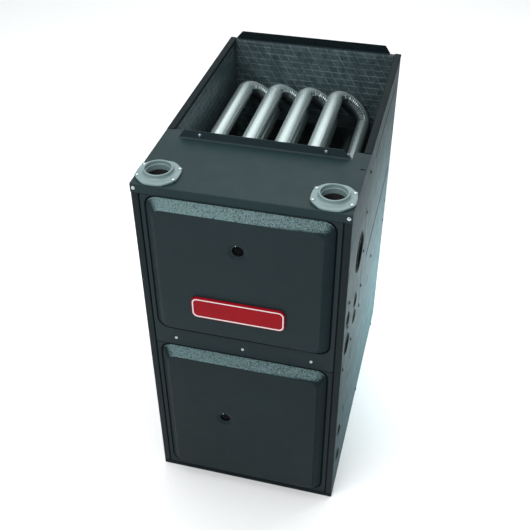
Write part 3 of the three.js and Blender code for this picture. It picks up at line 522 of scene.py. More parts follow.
def make_door(name, d, port, body, seed):
    P = Parts()
    nu, nv, nc = 150, 134, 14
    def ring(inset, y, r=None):
        r = max(PR - inset * 0.35, 5.0) if r is None else r
        hi, lo = d["z1"] - 1.7, d["z0"] + 1.7
        return [(u, y, min(hi, max(lo, v))) for u, v in rrect(PX0 + inset, PX1 - inset, d["p0"] + inset, d["p1"] - inset, r, nc, nu, nv)]
    e = 0.8
    outline = lambda g, y: [(u, y, v) for u, v in rrect(DOOR_X0 + 0.7 + g, DOOR_X1 - 0.4 - g, d["z0"] + 0.5 + g, d["z1"] - 0.5 - g, 2.4 - min(g, 1.0), nc, nu, nv)]
    # sheet round the pillow, with folded returns
    v, f = bands([outline(0.0, 4.4), outline(0.0, e), outline(0.25, 0.22), outline(e, 0.0)])
    P.add(v, f, 0)
    v, f = bands([outline(e, 0.0), ring(-4.8, 0.0), ring(-4.2, 0.12), ring(-3.7, 0.5)])
    P.add(v, f, 0)
    v, f = bands([ring(-3.7, 0.5), ring(-3.1, 1.0), ring(-2.0, 1.25), ring(-0.9, 0.8), ring(-0.3, 0.0)])
    P.add(v, f, 2)
    v, f = bands([ring(-0.3, 0.0), ring(0.1, -0.9), ring(0.5, -1.9)])
    P.add(v, f, 1)
    # the bevel: hammered, with a crisp crest where it meets the face
    n = 16
    rings = []
    for i in range(n + 1):
        t = i / n
        inset, y = 0.5 + (18.0 - 0.5) * t, -1.9 + (-18.6 + 1.9) * t
        fade = min(1.0, t * 6.0, (1 - t) * 6.0)
        row = []
        first, last = ring(0.5, 0.0), ring(18.0, 0.0)
        for k, (x, yy, z) in enumerate(ring(inset, y)):
            # the right-hand edge is drawn rounder than the others
            round_over = max(0.0, (first[k][0] - last[k][0]) / 17.5)
            yy = yy * (1 - round_over) + (-1.9 - 16.7 * math.sin(t * math.pi / 2) ** 1.15) * round_over
            # distance along the edge drives the pattern, so it looks alike on all four sides
            h = hammer(x + z * 0.37, z + t * 24.0 - x * 0.21, seed) * 0.42 * fade
            row.append((x, yy - h * 0.75, z + (h * 0.5 if z > (d["p0"] + d["p1"]) / 2 else -h * 0.5)))
        rings.append(row)
    v, f = bands(rings)
    P.add(v, f, 1)
    v, f = bands([rings[-1], ring(18.7, -19.15), ring(19.6, -PH), ring(21.5, -PH)])
    P.add(v, f, 0)
    # the face, with a dished port
    out = rrect(PX0 + 21.5, PX1 - 21.5, d["p0"] + 21.5, d["p1"] - 21.5, max(PR - 21.5 * 0.35, 5.0), nc, nu, nv)
    prof = [(22.5, 0.0), (21.0, 0.08), (19.8, 0.55), (18.6, 1.5), (16.8, 2.6), (14.6, 3.1), (12.6, 3.2), (12.3, 3.7), (12.3, 7.0)]
    nn = 56
    pts, fs = flat(out, holes=[circle(port[0], port[1], prof[0][0], nn)])
    P.add([(u, -PH, v) for u, v, h in pts], fs, 0)
    v, f = bands([[(u, -PH + dy, v) for u, v in circle(port[0], port[1], r, nn)] for r, dy in prof])
    P.add(v, f, 0)
    o = P.make(name, ["door", "bevel", "crease"] if body == "upper_door" else ["door_low", "bevel_low_painted_shade", "crease"], body, angle=50.0, weld=0.02, solid=-1.1, replaces=(name,), slot="paint")
    if name == "lower_door":
        Q = Parts()
        sec = [(1.3, 408.0), (4.3, 409.2), (4.5, 411.0), (4.5, 445.0), (4.0, 446.6), (1.3, 447.6)]
        v, f = bands([[(x, y, z) for y, z in sec] for x in (42.6, 59.4)])
        f += [tuple(range(6))[::-1], tuple(range(6, 12))]
        Q.add(v, f, 0)
        Q.make("lower_door_switch_tab", ["galv"], body, angle=30, bevel=0.3, slot="paint")
    wn = o.modifiers.new("normals", "WEIGHTED_NORMAL"); wn.keep_sharp = True
    return o

make_door("upper_door", UP_DOOR, PORT_UP, "upper_door", 3.1)
make_door("lower_door", LOW_DOOR, PORT_LOW, "lower_door", 11.7)

def sight_lens(name, port, body):
    y = -PH + 7.4
    place = lambda a, b, h: (port[0] + a, y - h, port[1] + b)
    P = Parts()
    v, f = lathe([(13.9, -0.2), (14.1, 0.4), (13.6, 1.1), (12.6, 1.5), (11.4, 1.3), (10.8, 0.6)], 48, place)
    P.add(v, f[:-2], 0)
    v, f = lathe([(10.9, 0.5), (10.0, 0.9), (7.5, 1.5), (4.0, 1.9), (0.01, 2.0)], 48, place)
    P.add(v, f[:-1], 1)
    # painted highlight: a small bright zinc bead at the upper left of the rim, put there to give the glint on the port
    v, f = lathe([(1.5, -0.4), (1.45, 0.5), (1.05, 1.1), (0.5, 1.4), (0.01, 1.5)], 16, lambda a, b, h: (port[0] - 4.2 + a, -PH + 3.4 - h, port[1] + 13.2 + b))
    P.add(v, f[:-1], 2)
    P.make(name, ["lens", "lens", "zinc_and_painted_glint"], body, angle=45, replaces=(name,), slot="lens")
sight_lens("upper_sight_lens", PORT_UP, "upper_door")
sight_lens("lower_sight_lens", PORT_LOW, "lower_door")

def badge():
    b = BADGE
    y1 = -PH - 0.25
    def rr(g, y):
        return [(u, y, v) for u, v in rrect(b["x"] - b["w"] / 2 + g, b["x"] + b["w"] / 2 - g, b["z"] - b["h"] / 2 + g, b["z"] + b["h"] / 2 - g, max(b["r"] - g * 0.7, 2.0), 10, 12, 4)]
    t = b["t"]
    P = Parts()
    v, f = bands([rr(0.2, y1), rr(0.0, y1 - 0.4), rr(0.0, y1 - t + 1.3), rr(0.35, y1 - t + 0.55), rr(0.8, y1 - t + 0.2), rr(1.4, y1 - t), rr(2.2, y1 - t)])
    P.add(v, f, 0)
    # pale raised border, then the plain red field a little lower
    v, f = bands([rr(2.2, y1 - t), rr(2.4, y1 - t - 0.3), rr(4.7, y1 - t - 0.3), rr(5.0, y1 - t + 0.25)])
    P.add(v, f, 1)
    v, f = bands([rr(5.0, y1 - t + 0.25), rr(5.6, y1 - t + 0.3), rr(9.0, y1 - t + 0.12)])
    n = len(rr(0, 0))
    f.append(tuple(range(2 * n, 3 * n)))
    P.add(v, f, 0)
    P.make("badge_plate", ["red", "pale"], "upper_door", angle=40, weld=0.01, replaces=("badge_plate",), slot="red")
badge()

P = Parts()
for x in (67.3, 222.3, 377.4):
    screw(P, (x, -0.05, 472), (0, -1, 0), 0.60, turn=0.3 + x)
P.make("door_screws", ["zinc_and_painted_glint"], "upper_door", angle=30, replaces=("door_screw_1", "door_screw_2", "door_screw_3"), slot="screw")

# ------------------------------------------------------------- top panel
def lip_section():
    """Top panel from its front lip round the fold onto the top, as (y, z) along the sheet."""
    pts = [(0.0, LIP_Z), (0.0, 864.0), (0.0, H - 2.6)]
    for i in range(1, 7):
        a = math.radians(90 * i / 6)
        pts.append((2.6 - 2.6 * math.cos(a), H - 2.6 + 2.6 * math.sin(a)))
    return pts

def sheet_thick(o, t, outward=False):
    s = o.modifiers.new("thickness", "SOLIDIFY")
    s.thickness = t / 1000.0
    s.offset = 1.0 if outward else -1.0
    s.use_even_offset = True
    s.use_quality_normals = True
    return o

def top_panel():
    P = Parts()
    nx = 40
    x0, x1 = 0.0, W
    sec = lip_section()
    # lip and its fold, with softened side edges
    rings = []
    for y, z in sec:
        rings.append([(x0 + (x1 - x0) * i / nx, y, z) for i in range(nx + 1)])
    v, f = bands(rings, closed=False)
    P.add(v, [q[::-1] for q in f], 0, flip=True)
    # flat top, with the two collar holes and the strips beside the duct
    yb = DUCT_Y - 3.4
    outline = [(x, 2.6) for x in [x0 + (x1 - x0) * i / nx for i in range(nx + 1)]]
    outline += [(x1, STRIP_Y), (STRIP_R + 3.0, STRIP_Y), (STRIP_R, STRIP_Y - 3.0), (STRIP_R, yb), (STRIP_L, yb), (STRIP_L, STRIP_Y - 3.0), (STRIP_L - 3.0, STRIP_Y), (x0, STRIP_Y)]
    holes = [circle(cx, cy, 30.6, 48) for _, cx, cy in COLLARS]
    pts, fs = flat(outline, holes=holes)
    P.add([(u, v, H) for u, v, h in pts], fs, 0)
    # fold up into the front duct flange: it narrows towards its top
    def span(z):
        t = (z - H) / (LIPTOP - H)
        return 36.0 + 14.0 * t, 408.5 - 18.5 * t
    LIPTOP = 896.3
    rings = []
    for i in range(0, 7):
        a = math.radians(90 * i / 6)
        y, z = yb + 3.4 * math.sin(a), H + 3.4 - 3.4 * math.cos(a)
        l, r = span(z)
        rings.append([(l + (r - l) * k / nx, y, z) for k in range(nx + 1)])
    for z in (882.0, 889.0, LIPTOP - 1.2, LIPTOP):
        l, r = span(z)
        rings.append([(l + (r - l) * k / nx, DUCT_Y, z) for k in range(nx + 1)])
    v, f = bands(rings, closed=False)
    P.add(v, f, 1)
    o = P.make("top_panel", ["panel", "duct"], "cabinet", angle=50, weld=0.05, solid=-T, bevel=0.35, replaces=("top_panel",), slot="panel")
    wn = o.modifiers.new("normals", "WEIGHTED_NORMAL"); wn.keep_sharp = True
    Q = Parts()
    for x, z in ((7.0, 866.5), (437.0, 866.5)):
        screw(Q, (x, -0.05, z), (0, -1, 0), 0.72, turn=0.2 + x)
    for x in (84.0, 355.0):
        screw(Q, (x, DUCT_Y - T - 0.05, 887.5), (0, -1, 0), 0.7, turn=0.5 + x)
    v, f = lathe([(2.3, 0.0), (2.1, 0.16), (0.01, 0.18)], 20, lambda a, b, h: (436.4 + a * 2.5 + b * 0.4, 159.5 + b, H + 0.02 + h))
    Q.add(v, f[:-1], 1)
    Q.make("top_panel_screws", ["zinc_and_painted_glint", "crease"], "cabinet", angle=30, slot="screw")
top_panel()

# ---------------------------------------------------------------- collars
def collar(name, cx, cy):
    n = 96
    half, cut = 44.5, 24.0
    def octagon(g, rnd):
        """Octagon with rounded corners sampled by angle, so every ring has n points."""
        out = []
        h = half - g
        c = cut - g * 0.3
        for i in range(n):
            a = 2 * math.pi * i / n
            ca, sa = abs(math.cos(a)), abs(math.sin(a))
            r_flat = h / max(ca, sa)
            r_diag = (2 * h - c) / (ca + sa)
            # soft minimum rounds the corners
            k = 0.9 / rnd
            r = -math.log(math.exp(-k * (r_flat - h)) + math.exp(-k * (r_diag - h))) / k + h
            out.append((r * math.cos(a), r * math.sin(a)))
        return out
    def oct3(g, z, rnd=3.2):
        return [(cx + x, cy + y, z) for x, y in octagon(g, rnd)]
    def circ3(r, z):
        return [(cx + r * math.cos(2 * math.pi * i / n), cy + r * math.sin(2 * math.pi * i / n), z) for i in range(n)]
    z0 = H + 0.35
    P = Parts()
    rings = [circ3(30.3, z0), oct3(1.2, z0), oct3(0.4, z0 + 0.4), oct3(0.0, z0 + 1.2), oct3(0.0, z0 + 3.9), oct3(0.35, z0 + 4.6), oct3(1.1, z0 + 5.1), oct3(2.2, z0 + 5.25)]
    # blend from the octagon to the fillet at the foot of the tube
    zf = z0 + 5.25
    for r, dz in ((36.4, 0.0), (34.2, 0.22), (32.4, 0.9), (31.0, 2.1), (30.3, 3.6), (30.05, 5.4), (29.98, 7.0), (29.93, 9.2)):
        rings.append(circ3(r, zf + dz))
    zt = 891.8
    for r, z in ((29.75, zt - 0.55), (29.3, zt - 0.12), (28.7, zt), (27.6, zt), (27.05, zt - 0.2), (26.7, zt - 0.8), (26.5, zt - 2.2), (26.35, zt - 7.5), (25.6, zt - 8.2), (24.9, zt - 8.6), (24.8, zt - 10.5), (24.8, zt - 20.0), (24.8, zt - 30.0), (24.9, 843.0), (26.3, 840.3), (28.0, 840.0), (29.6, 840.4), (30.0, 843.0), (30.3, 876.0)):
        rings.append(circ3(r, z))
    cut = len(rings) - 8
    v, f = bands(rings[:cut + 1])
    P.add(v, f, 0)
    # painted shade: the socket wall from 20 mm below the rim down to the step at 843 mm is drawn in black rubber,
    # standing in for the shade inside the collar
    v, f = bands(rings[cut:cut + 3])
    P.add(v, f, 1)
    v, f = bands(rings[cut + 2:])
    P.add(v, f, 0)
    # moulded pads under the screws
    for sx in (-37.5, 37.5):
        for sy in (-20.0, 20.0):
            v, f = lathe([(5.4, 5.0), (5.2, 5.6), (4.7, 5.95), (0.01, 6.0)], 24, lambda a, b, h, sx=sx, sy=sy: (cx + sx + a, cy + sy + b, z0 + h))
            P.add(v, f, 0)
    P.make(name, ["collar", "rubber"], "cabinet", angle=45, weld=0.02, replaces=(name,), slot="collar")
    Q = Parts()
    for sx in (-37.5, 37.5):
        for sy in (-20.0, 20.0):
            screw(Q, (cx + sx, cy + sy, z0 + 5.9), (0, 0, 1), 0.52, turn=sx + sy, head="pan")
    Q.make(name + "_screws", ["zinc_and_painted_glint"], "cabinet", angle=30, slot="screw")
for c in COLLARS:
    collar(*c)

# ------------------------------------------------------------ cabinet wrap
def groove_loop(kind, path, w):
    """A narrow closed loop round a straight path in the panel plane."""
    (a, b), (c, d) = path
    L = math.hypot(c - a, d - b)
    ux, uy = (c - a) / L, (d - b) / L
    px, py = -uy, ux
    out = []
    n = 10
    for i in range(n + 1):
        t = math.pi * (0.5 - i / n)
        out.append((c + ux * w * math.cos(t) + px * w * math.sin(t), d + uy * w * math.cos(t) + py * w * math.sin(t)))
    for i in range(n + 1):
        t = math.pi * (1.5 - i / n)
        out.append((a + ux * w * math.cos(t) + px * w * math.sin(t), b + uy * w * math.cos(t) + py * w * math.sin(t)))
    return out[::-1]

SEAMS = [((326, 809), (650, 824), 2.4, 1.05), ((309, 547), (672, 569), 4.6, 1.1), ((369, 402), (407, 400), 1.6, 1.1), ((226, 742), (226, 645), 1.3, 1.0), ((226, 600), (230, 456), 1.3, 1.0),
         ((104, 213), (96, 243), 1.8, 0.9), ((128, 300), (124, 330), 1.8, 0.9), ((150, 350), (147, 388), 1.8, 0.9)]
SIDE_SCREWS = [(237.5, 824), (237.6, 720), (232, 616.5), (238.8, 507.5), (237, 446), (424.5, 454), (679, 457), (681, 387), (46, 620), (48, 548), (22, 442.5), (127.7, 437), (649, 9), (359, 20)]

def side_wall(P, right):
    """One side of the wrap as a pressed sheet with its holes, grooves and bead."""
    X = W if right else 0.0
    s = 1.0 if right else -1.0
    holes = [circle(y, z, r, 56 if r > 30 else 36) for y, z, r in SIDE_HOLES]
    edge = 3.0
    top_a, top_b = H - 2.2, 874.8
    outline = [(edge, 0.0)]
    outline += [(D - edge, 0.0), (D - edge, top_a), (STRIP_Y + 0.3, top_a), (STRIP_Y + 0.3, top_b - 0.2), (edge, top_b - 0.2)]
    inner = []
    for a, b, w, h in SEAMS:
        inner.append((groove_loop("g", (a, b), w + 1.4), 0.0))
        inner.append((groove_loop("g", (a, b), w), -0.45 * h))
        inner.append((groove_loop("g", (a, b), w * 0.45), -h))
    for y, z, r in SIDE_HOLES:
        inner.append((circle(y, z, r + 1.9, 56 if r > 30 else 36), 0.0))
    # a narrow border keeps the shading of the folded edges off the flat sheet
    inner.append(([(edge + 1.2, 1.2), (D - edge - 1.2, 1.2), (D - edge - 1.2, top_a - 1.4), (edge + 1.2, top_a - 1.4)], 0.0))
    # light stamped ring round each hole edge: the hole ring itself is drawn in by half a millimetre
    pts, fs = flat(outline, holes=holes, inner=inner)
    vv = []
    for u, v, h in pts:
        dh = h
        for y, z, r in SIDE_HOLES:
            if abs(math.hypot(u - y, v - z) - r) < 0.3:
                dh = -0.5
        vv.append((X + s * dh, u, v))
    # seen from outside: y to the right for the right wall
    deep = [q for q in fs if min(pts[k][2] for k in q) < -0.4]
    rest = [q for q in fs if min(pts[k][2] for k in q) >= -0.4]
    P.add(vv, rest, 0, flip=not right)
    P.add(vv, deep, 3, flip=not right)

def arc_pts(cx, cy, r, a0, a1, n):
    return [(cx + r * math.cos(math.radians(a0 + (a1 - a0) * i / n)), cy + r * math.sin(math.radians(a0 + (a1 - a0) * i / n))) for i in range(n + 1)]

def cabinet_wrap():
    P = Parts()
    z_lo, z_hi = 0.0, 874.8
    side_wall(P, True)
    side_wall(P, False)
    # front corner folds and front flanges, outside surface, for each side
    R = 3.0
    for right in (False, True):
        prof = [(0.0, R)] + arc_pts(R, R, R, 180, 270, 8)[1:] + [(11.0, 0.0)] + arc_pts(13.4, 2.2, 2.2, 270, 360, 6) + [(15.6, 5.8)]
        if right:
            prof = [(W - x, y) for x, y in prof]
        zs = [14.0, 300.0, 600.0, 855.7]
        rings = [[(x, y, z) for x, y in prof] for z in zs]
        v, f = bands(rings, closed=False)
        P.add(v, f, 1, flip=right)
        # the inner ledge behind the door
        prof = [(15.6, 5.8)] + arc_pts(16.8, 5.8, 1.2, 180, 90, 4)[1:] + [(32.0, 7.0)]
        if right:
            prof = [(W - x, y) for x, y in prof]
        rings = [[(x, y - 1.0 if k else y, z) for k, (x, y) in enumerate(prof)] for z in zs]
        v, f = bands(rings, closed=False)
        P.add(v, f, 1, flip=right)
        # fold below and above the flange
        for za, zb in ((0.0, 14.0), (855.7, 874.6)):
            prof = [(0.0, R)] + arc_pts(R, R, R, 180, 270, 8)[1:][:4]
            if right:
                prof = [(W - x, y) for x, y in prof]
            v, f = bands([[(x, y, z) for x, y in prof] for z in (za, zb)], closed=False)
            P.add(v, f, 1, flip=right)
        # rear corner fold
        prof = arc_pts(R, D - R, R, 90, 180, 8)
        if right:
            prof = [(W - x, y) for x, y in prof]
        v, f = bands([[(x, y, z) for x, y in prof] for z in (0.0, H - 2.2)], closed=False)
        P.add(v, f, 0, flip=right)
        # top fold and top flange beside the duct
        y0, y1 = STRIP_Y + 0.3, D - 4.0
        sec = [(0.0, H - 2.2)] + [(2.2 - 2.2 * math.cos(math.radians(15 * i)), H - 2.2 + 2.2 * math.sin(math.radians(15 * i))) for i in range(1, 7)] + [(EDGE_L - 1.4, H)] + [(EDGE_L - 1.4 + 1.4 * math.sin(math.radians(22.5 * i)), H - 1.4 + 1.4 * math.cos(math.radians(22.5 * i))) for i in range(1, 5)] + [(EDGE_L, H - 7.0)]
        if right:
            sec = [(W - x, z) for x, z in sec]
            sec = [(x if x > EDGE_R + 2 else x - (W - EDGE_L - EDGE_R), z) for x, z in sec]
        rows = [[(x, y, z) for x, z in sec] for y in (y0, (y0 + y1) / 2, y1)]
        v, f = bands(rows, closed=False)
        P.add(v, f, 2, flip=not right)
    # back sheet and rear duct flange
    nx = 30
    xs = [3.0 + (W - 6.0) * i / nx for i in range(nx + 1)]
    v, f = bands([[(x, D, z) for x in xs] for z in (0.0, 3.0, 8.0, 200.0, 400.0, 600.0, 800.0, H - 10.0, H - 4.0)], closed=False)
    P.add(v, f, 0, flip=True)
    top = 894.3
    def span(z):
        t = max(0.0, (z - H) / (top - H))
        return 15.5 + 15.5 * t, 416.5 - 12.5 * t
    rings = []
    for z in (H - 4.0, H, 880.0, 887.0, top):
        l, r = span(z)
        rings.append([(l + (r - l) * k / nx, D, z) for k in range(nx + 1)])
    v, f = bands(rings, closed=False)
    P.add(v, f, 2, flip=True)
    # turned-in flanges along the floor
    for right in (False, True):
        a, b = (0.6, 20.0) if not right else (W - 20.0, W - 0.6)
        P.add([(a, 29, 0), (b, 29, 0), (b, D - 2, 0), (a, D - 2, 0)], [(0, 1, 2, 3)], 2, flip=True)
    o = P.make("cabinet_wrap", ["side", "frame", "flange", "crease"], "cabinet", angle=40, weld=0.03, replaces=("cabinet_wrap",), slot="side")
    s = o.modifiers.new("thickness", "SOLIDIFY")
    s.thickness, s.offset = T / 1000.0, -1.0
    s.use_quality_normals = True
    bv = o.modifiers.new("edge", "BEVEL")
    bv.width, bv.segments, bv.limit_method, bv.angle_limit = 0.0003, 2, "ANGLE", math.radians(60)
    wn = o.modifiers.new("normals", "WEIGHTED_NORMAL"); wn.keep_sharp = True
    Q = Parts()
    for right in (True, False):
        X = W + 0.05 if right else -0.05
        nrm = (1, 0, 0) if right else (-1, 0, 0)
        for y, z in SIDE_SCREWS:
            screw(Q, (X, y, z), nrm, 1.0, mat=1, turn=y + z, head="pan")
        for y, z, r in SIDE_HOLES:
            g = 1.0 if r > 30 else 0.85
            pl = lambda a, b, h, y=y, z=z, X=X, k=nrm[0]: (X + k * h, y + a * k, z + b)
            # grommet in each side hole; its barrel runs into the hole and its darker colour is partly painted shade
            v, f = lathe([(r - 0.7, -3.6), (r - 0.8, 0.6), (r - 0.3, 1.7 * g), (r + 0.5, 2.1 * g), (r + 1.4, 1.9 * g), (r + 2.1, 1.3 * g), (r + 2.4, 0.6), (r + 2.5, 0.0)], 56 if r > 30 else 36, pl)
            Q.add(v, f[:-2], 2)
    for x in (30.0, 120.0, 222.0, 324.0, 414.0):
        for z in (60.0, 448.6, 840.0):
            screw(Q, (x, D + 0.05, z), (0, 1, 0), 0.7, turn=x)
    for x in (84.0, 222.0, 355.0):
        screw(Q, (x, D - T - 0.05, 886.0), (0, -1, 0), 0.6, mat=1, turn=x + 0.4)
    Q.make("wrap_screws", ["zinc_and_painted_glint", "darkscrew", "grommet_and_hole_shade"], "cabinet", angle=30, slot="screw")
cabinet_wrap()

# ----------------------------------------------------------- swept shapes
def route(pts, radii, steps=8):
    """Straight runs joined by round bends. Each sample is (point, tangent, towards the bend's centre or None, 0..1 along the bend, bend number)."""
    P = [Vector(p) for p in pts]
    out = [(P[0].copy(), (P[1] - P[0]).normalized(), None, 0.0, -1)]
    for i in range(1, len(P) - 1):
        a, b = (P[i - 1] - P[i]).normalized(), (P[i + 1] - P[i]).normalized()
        half = a.angle(b) / 2
        r = radii[i - 1] if isinstance(radii, (list, tuple)) else radii
        d = r / math.tan(half)
        bis = (a + b).normalized()
        c = P[i] + bis * (r / math.sin(half))
        s, e = P[i] + a * d - c, P[i] + b * d - c
        axis = s.cross(e).normalized()
        sweep = s.angle(e)
        for k in range(steps + 1):
            v = Matrix.Rotation(sweep * k / steps, 3, axis) @ s
            out.append((c + v, axis.cross(v).normalized(), -v.normalized(), k / steps, i - 1))
    out.append((P[-1].copy(), (P[-1] - P[-2]).normalized(), None, 1.0, -2))
    keep = [out[0]]
    for q in out[1:]:
        if (q[0] - keep[-1][0]).length > 0.05:
            keep.append(q)
    return keep

def sweep(way, radius, n=24, wobble=None, close=True, caps=True):
    """Round sweep along a route. radius(k, sample) in mm; wobble(k, sample, direction) adds to it."""
    t0 = way[0][1]
    nrm = Vector((1, 0, 0)) if abs(t0.z) > 0.9 else Vector((0, 0, 1))
    rings = []
    for k, q in enumerate(way):
        t = q[1]
        nrm = (nrm - t * nrm.dot(t)).normalized()
        b = t.cross(nrm)
        r = radius(k, q)
        ring = []
        for i in range(n):
            a = 2 * math.pi * i / n
            d = nrm * math.cos(a) + b * math.sin(a)
            rr = r + (wobble(k, q, d) if wobble else 0.0)
            ring.append(tuple(q[0] + d * rr))
        rings.append(ring)
    v, f = bands(rings)
    if caps:
        f.append(tuple(reversed(range(n))))
        f.append(tuple(range((len(way) - 1) * n, len(way) * n)))
    return v, f

def resample(way, step):
    """Adds samples to long straight runs."""
    out = [way[0]]
    for a, b in zip(way, way[1:]):
        L = (b[0] - a[0]).length
        if a[2] is None or b[2] is None or a[4] != b[4]:
            m = max(1, int(L / step))
            for j in range(1, m):
                out.append((a[0].lerp(b[0], j / m), b[1] if b[2] is None else a[1], None, 0.0, -1))
        out.append(b)
    return out

def heat_tube(i, x):
    y0 = 235.9
    dx, dz, dx2, dz2 = 77, -60, -37, -67
    r1, r2 = math.hypot(dx, dz) / 2 - 0.01, math.hypot(dx2, dz2) / 2 - 0.01
    way = route([(x, y0, TUBE_Z), (x, TUBE_BACK, TUBE_Z), (x + dx, TUBE_BACK, TUBE_Z + dz), (x + dx, TUBE_FRONT, TUBE_Z + dz),
                 (x + dx + dx2, TUBE_FRONT, TUBE_Z + dz + dz2), (x + dx + dx2, 654.7, TUBE_Z + dz + dz2)], [r1, r1, r2, r2], 72)
    way = resample(way, 40.0)
    def base(k, q):
        b = q[4]
        if b in (0, 1):
            t = max(0.0, ((b + q[3]) / 2.0 - 0.45) / 0.55)
            return R1 + (R2 - R1) * (t * t * (3 - 2 * t))
        if q[0].z > TUBE_Z - 5:
            y = q[0].y - y0
            return R1 + (1.6 * max(0.0, 1 - abs(y - 5.5) / 3.0) if y < 9 else 0.0)
        return R2
    def wrinkle(k, q, d):
        b = q[4]
        if b not in (0, 1, 2, 3) or q[2] is None:
            return 0.0
        s = ((b % 2) + q[3]) / 2.0
        n = 21.0 if b < 2 else 14.0
        c = d.dot(q[2])
        ph = (s - 0.04) / 0.92 * n
        flat_out = -0.7 * max(0.0, -c) ** 2 * math.sin(math.pi * s)
        if ph < 0 or ph > n or c < 0.08:
            return flat_out
        # round crests with tight valleys, strongest on the inside of the bend
        crest = abs(math.sin(math.pi * ph)) ** 0.6 - 0.6
        side = min(1.0, (c - 0.08) / 0.22)
        odd = 0.82 + 0.18 * math.sin(ph * 2.3 + i * 1.7)
        return crest * 1.9 * side * min(1.0, ph / 0.8, (n - ph) / 0.8) * odd + flat_out
    ends = [way[0]] + way + [way[-1]]
    v, f = sweep(way, base, 56, wrinkle, caps=False)
    # painted shade on the folded inside of each bend: faces turned well into the bend take the dark steel, standing in
    # for their shade; on the upper bends the band beside them takes the crimped metal
    def fold(face):
        k, j = divmod(face[0], 56)
        q = way[k]
        if q[2] is None or q[4] not in (0, 1, 2, 3) or not 0.03 < ((q[4] % 2) + q[3]) / 2.0 < 0.97:
            return 0
        c = (Vector(v[face[0]]) - q[0]).normalized().dot(q[2])
        return 1 if c > 0.55 else 2 if c > 0.16 and q[4] < 2 else 0
    vi, fi = sweep(way, lambda k, q: base(k, q) - 1.3, 28, None, caps=False)
    P = Parts()
    for k in (0, 1, 2):
        P.add(v, [q for q in f if fold(q) == k], k)
    P.add(vi, fi, 0, flip=True)
    o = P.make(f"heat_tube_{i + 1}", ["tube", "darkmetal", "crimp"], "cabinet", angle=80, replaces=(f"heat_tube_{i + 1}",), slot="alum")
    # weld collar where the tube meets the vestibule panel
    Q = Parts()
    pl = lambda a, b, h: (x + a, y0 + h, TUBE_Z + b)
    vv, ff = lathe([(R1 + 0.2, 0.05), (R1 + 4.4, 0.1), (R1 + 4.6, 0.8), (R1 + 3.6, 1.5), (R1 + 1.2, 2.0), (R1 + 0.3, 3.2)], 56, pl)
    Q.add(vv, ff[:-2], 0)
    Q.make(f"tube_ring_{i + 1}", ["tube"], "cabinet", angle=60, slot="alum")
for i, x in enumerate(TUBE_X):
    heat_tube(i, x)

# -------------------------------------------------------------- insulation
XI0, XI1 = T + 0.3, W - T - 0.3
def insulation():
    y0, y1, z0, z1, th = 235.9, D - T - 0.3, 449.5, 874.5, 12.0
    def panel(name, origin, du, dv, dn, lu, lv):
        """Slab on the wall: face with shallow quilting, its long edges rolled over."""
        P = Parts()
        nu, nv = 90, 78
        o, du, dv, dn = Vector(origin), Vector(du), Vector(dv), Vector(dn)
        face, uvs = [], []
        for j in range(nv + 1):
            for i in range(nu + 1):
                u, v = lu * i / nu, lv * j / nv
                e = min(u, lu - u, v, lv - v)
                h = th - 0.35 - 1.6 * max(0.0, 1 - e / 4.0) ** 2
                q = noise.noise(Vector((u / 60.0, v / 75.0, o.x * 0.01 + o.y * 0.013))) * 0.9 + noise.noise(Vector((u / 24.0, v / 30.0, 4.0))) * 0.35
                h += min(0.3, q * min(1.0, e / 12.0))
                face.append(tuple(o + du * u + dv * v + dn * h))
                uvs.append((u, v))
        row = nu + 1
        fs = [(j * row + i, j * row + i + 1, (j + 1) * row + i + 1, (j + 1) * row + i) for j in range(nv) for i in range(nu)]
        up = du.cross(dv).dot(dn) > 0
        P.add(face, fs, 0, flip=not up, uvs=uvs)
        loop = [j for j in range(nu + 1)] + [j * row + nu for j in range(1, nv + 1)] + [nv * row + i for i in range(nu - 1, -1, -1)] + [j * row for j in range(nv - 1, 0, -1)]
        front = [face[k] for k in loop]
        back = []
        for k in loop:
            u, v = uvs[k]
            back.append(tuple(o + du * u + dv * v + dn * 0.1))
        vv, ff = bands([back, front])
        P.add(vv, ff, 1, flip=not up)
        P.add(back, [tuple(range(len(back)))], 1, flip=up)
        P.make(name, ["foil", "foiledge"], "cabinet", angle=50, with_uv=True, replaces=(name,), slot="foil")
    panel("insulation_left", (XI0, y0, z0), (0, 1, 0), (0, 0, 1), (1, 0, 0), y1 - y0, z1 - z0)
    panel("insulation_right", (XI1, y0, z0), (0, 1, 0), (0, 0, 1), (-1, 0, 0), y1 - y0, z1 - z0)
    panel("insulation_back", (XI0 + th + 0.3, y1, z0), (1, 0, 0), (0, 0, 1), (0, -1, 0), XI1 - XI0 - 2 * th - 0.6, z1 - z0)

MAT["foiledge"] = painted("foil_tape", (0.014, 0.024, 0.027), 0.45, 0.08, spec=0.2)
def fibre_material():
    """Cut edge and back of a fibreglass blanket."""
    m, nt, p = new_mat("fibre_edge")
    vec = coords(nt, (1, 1, 6))
    n = noise_tex(nt, vec, 160.0, 6.0, 0.7)
    nt.links.new(ramp(nt, n, [(0.3, (0.30, 0.26, 0.14)), (0.7, (0.62, 0.55, 0.32))]), p.inputs["Base Color"])
    nt.links.new(bump(nt, n, 0.9, 0.002), p.inputs["Normal"])
    p.inputs["Roughness"].default_value = 0.9
    return m
MAT["fibre"] = fibre_material()

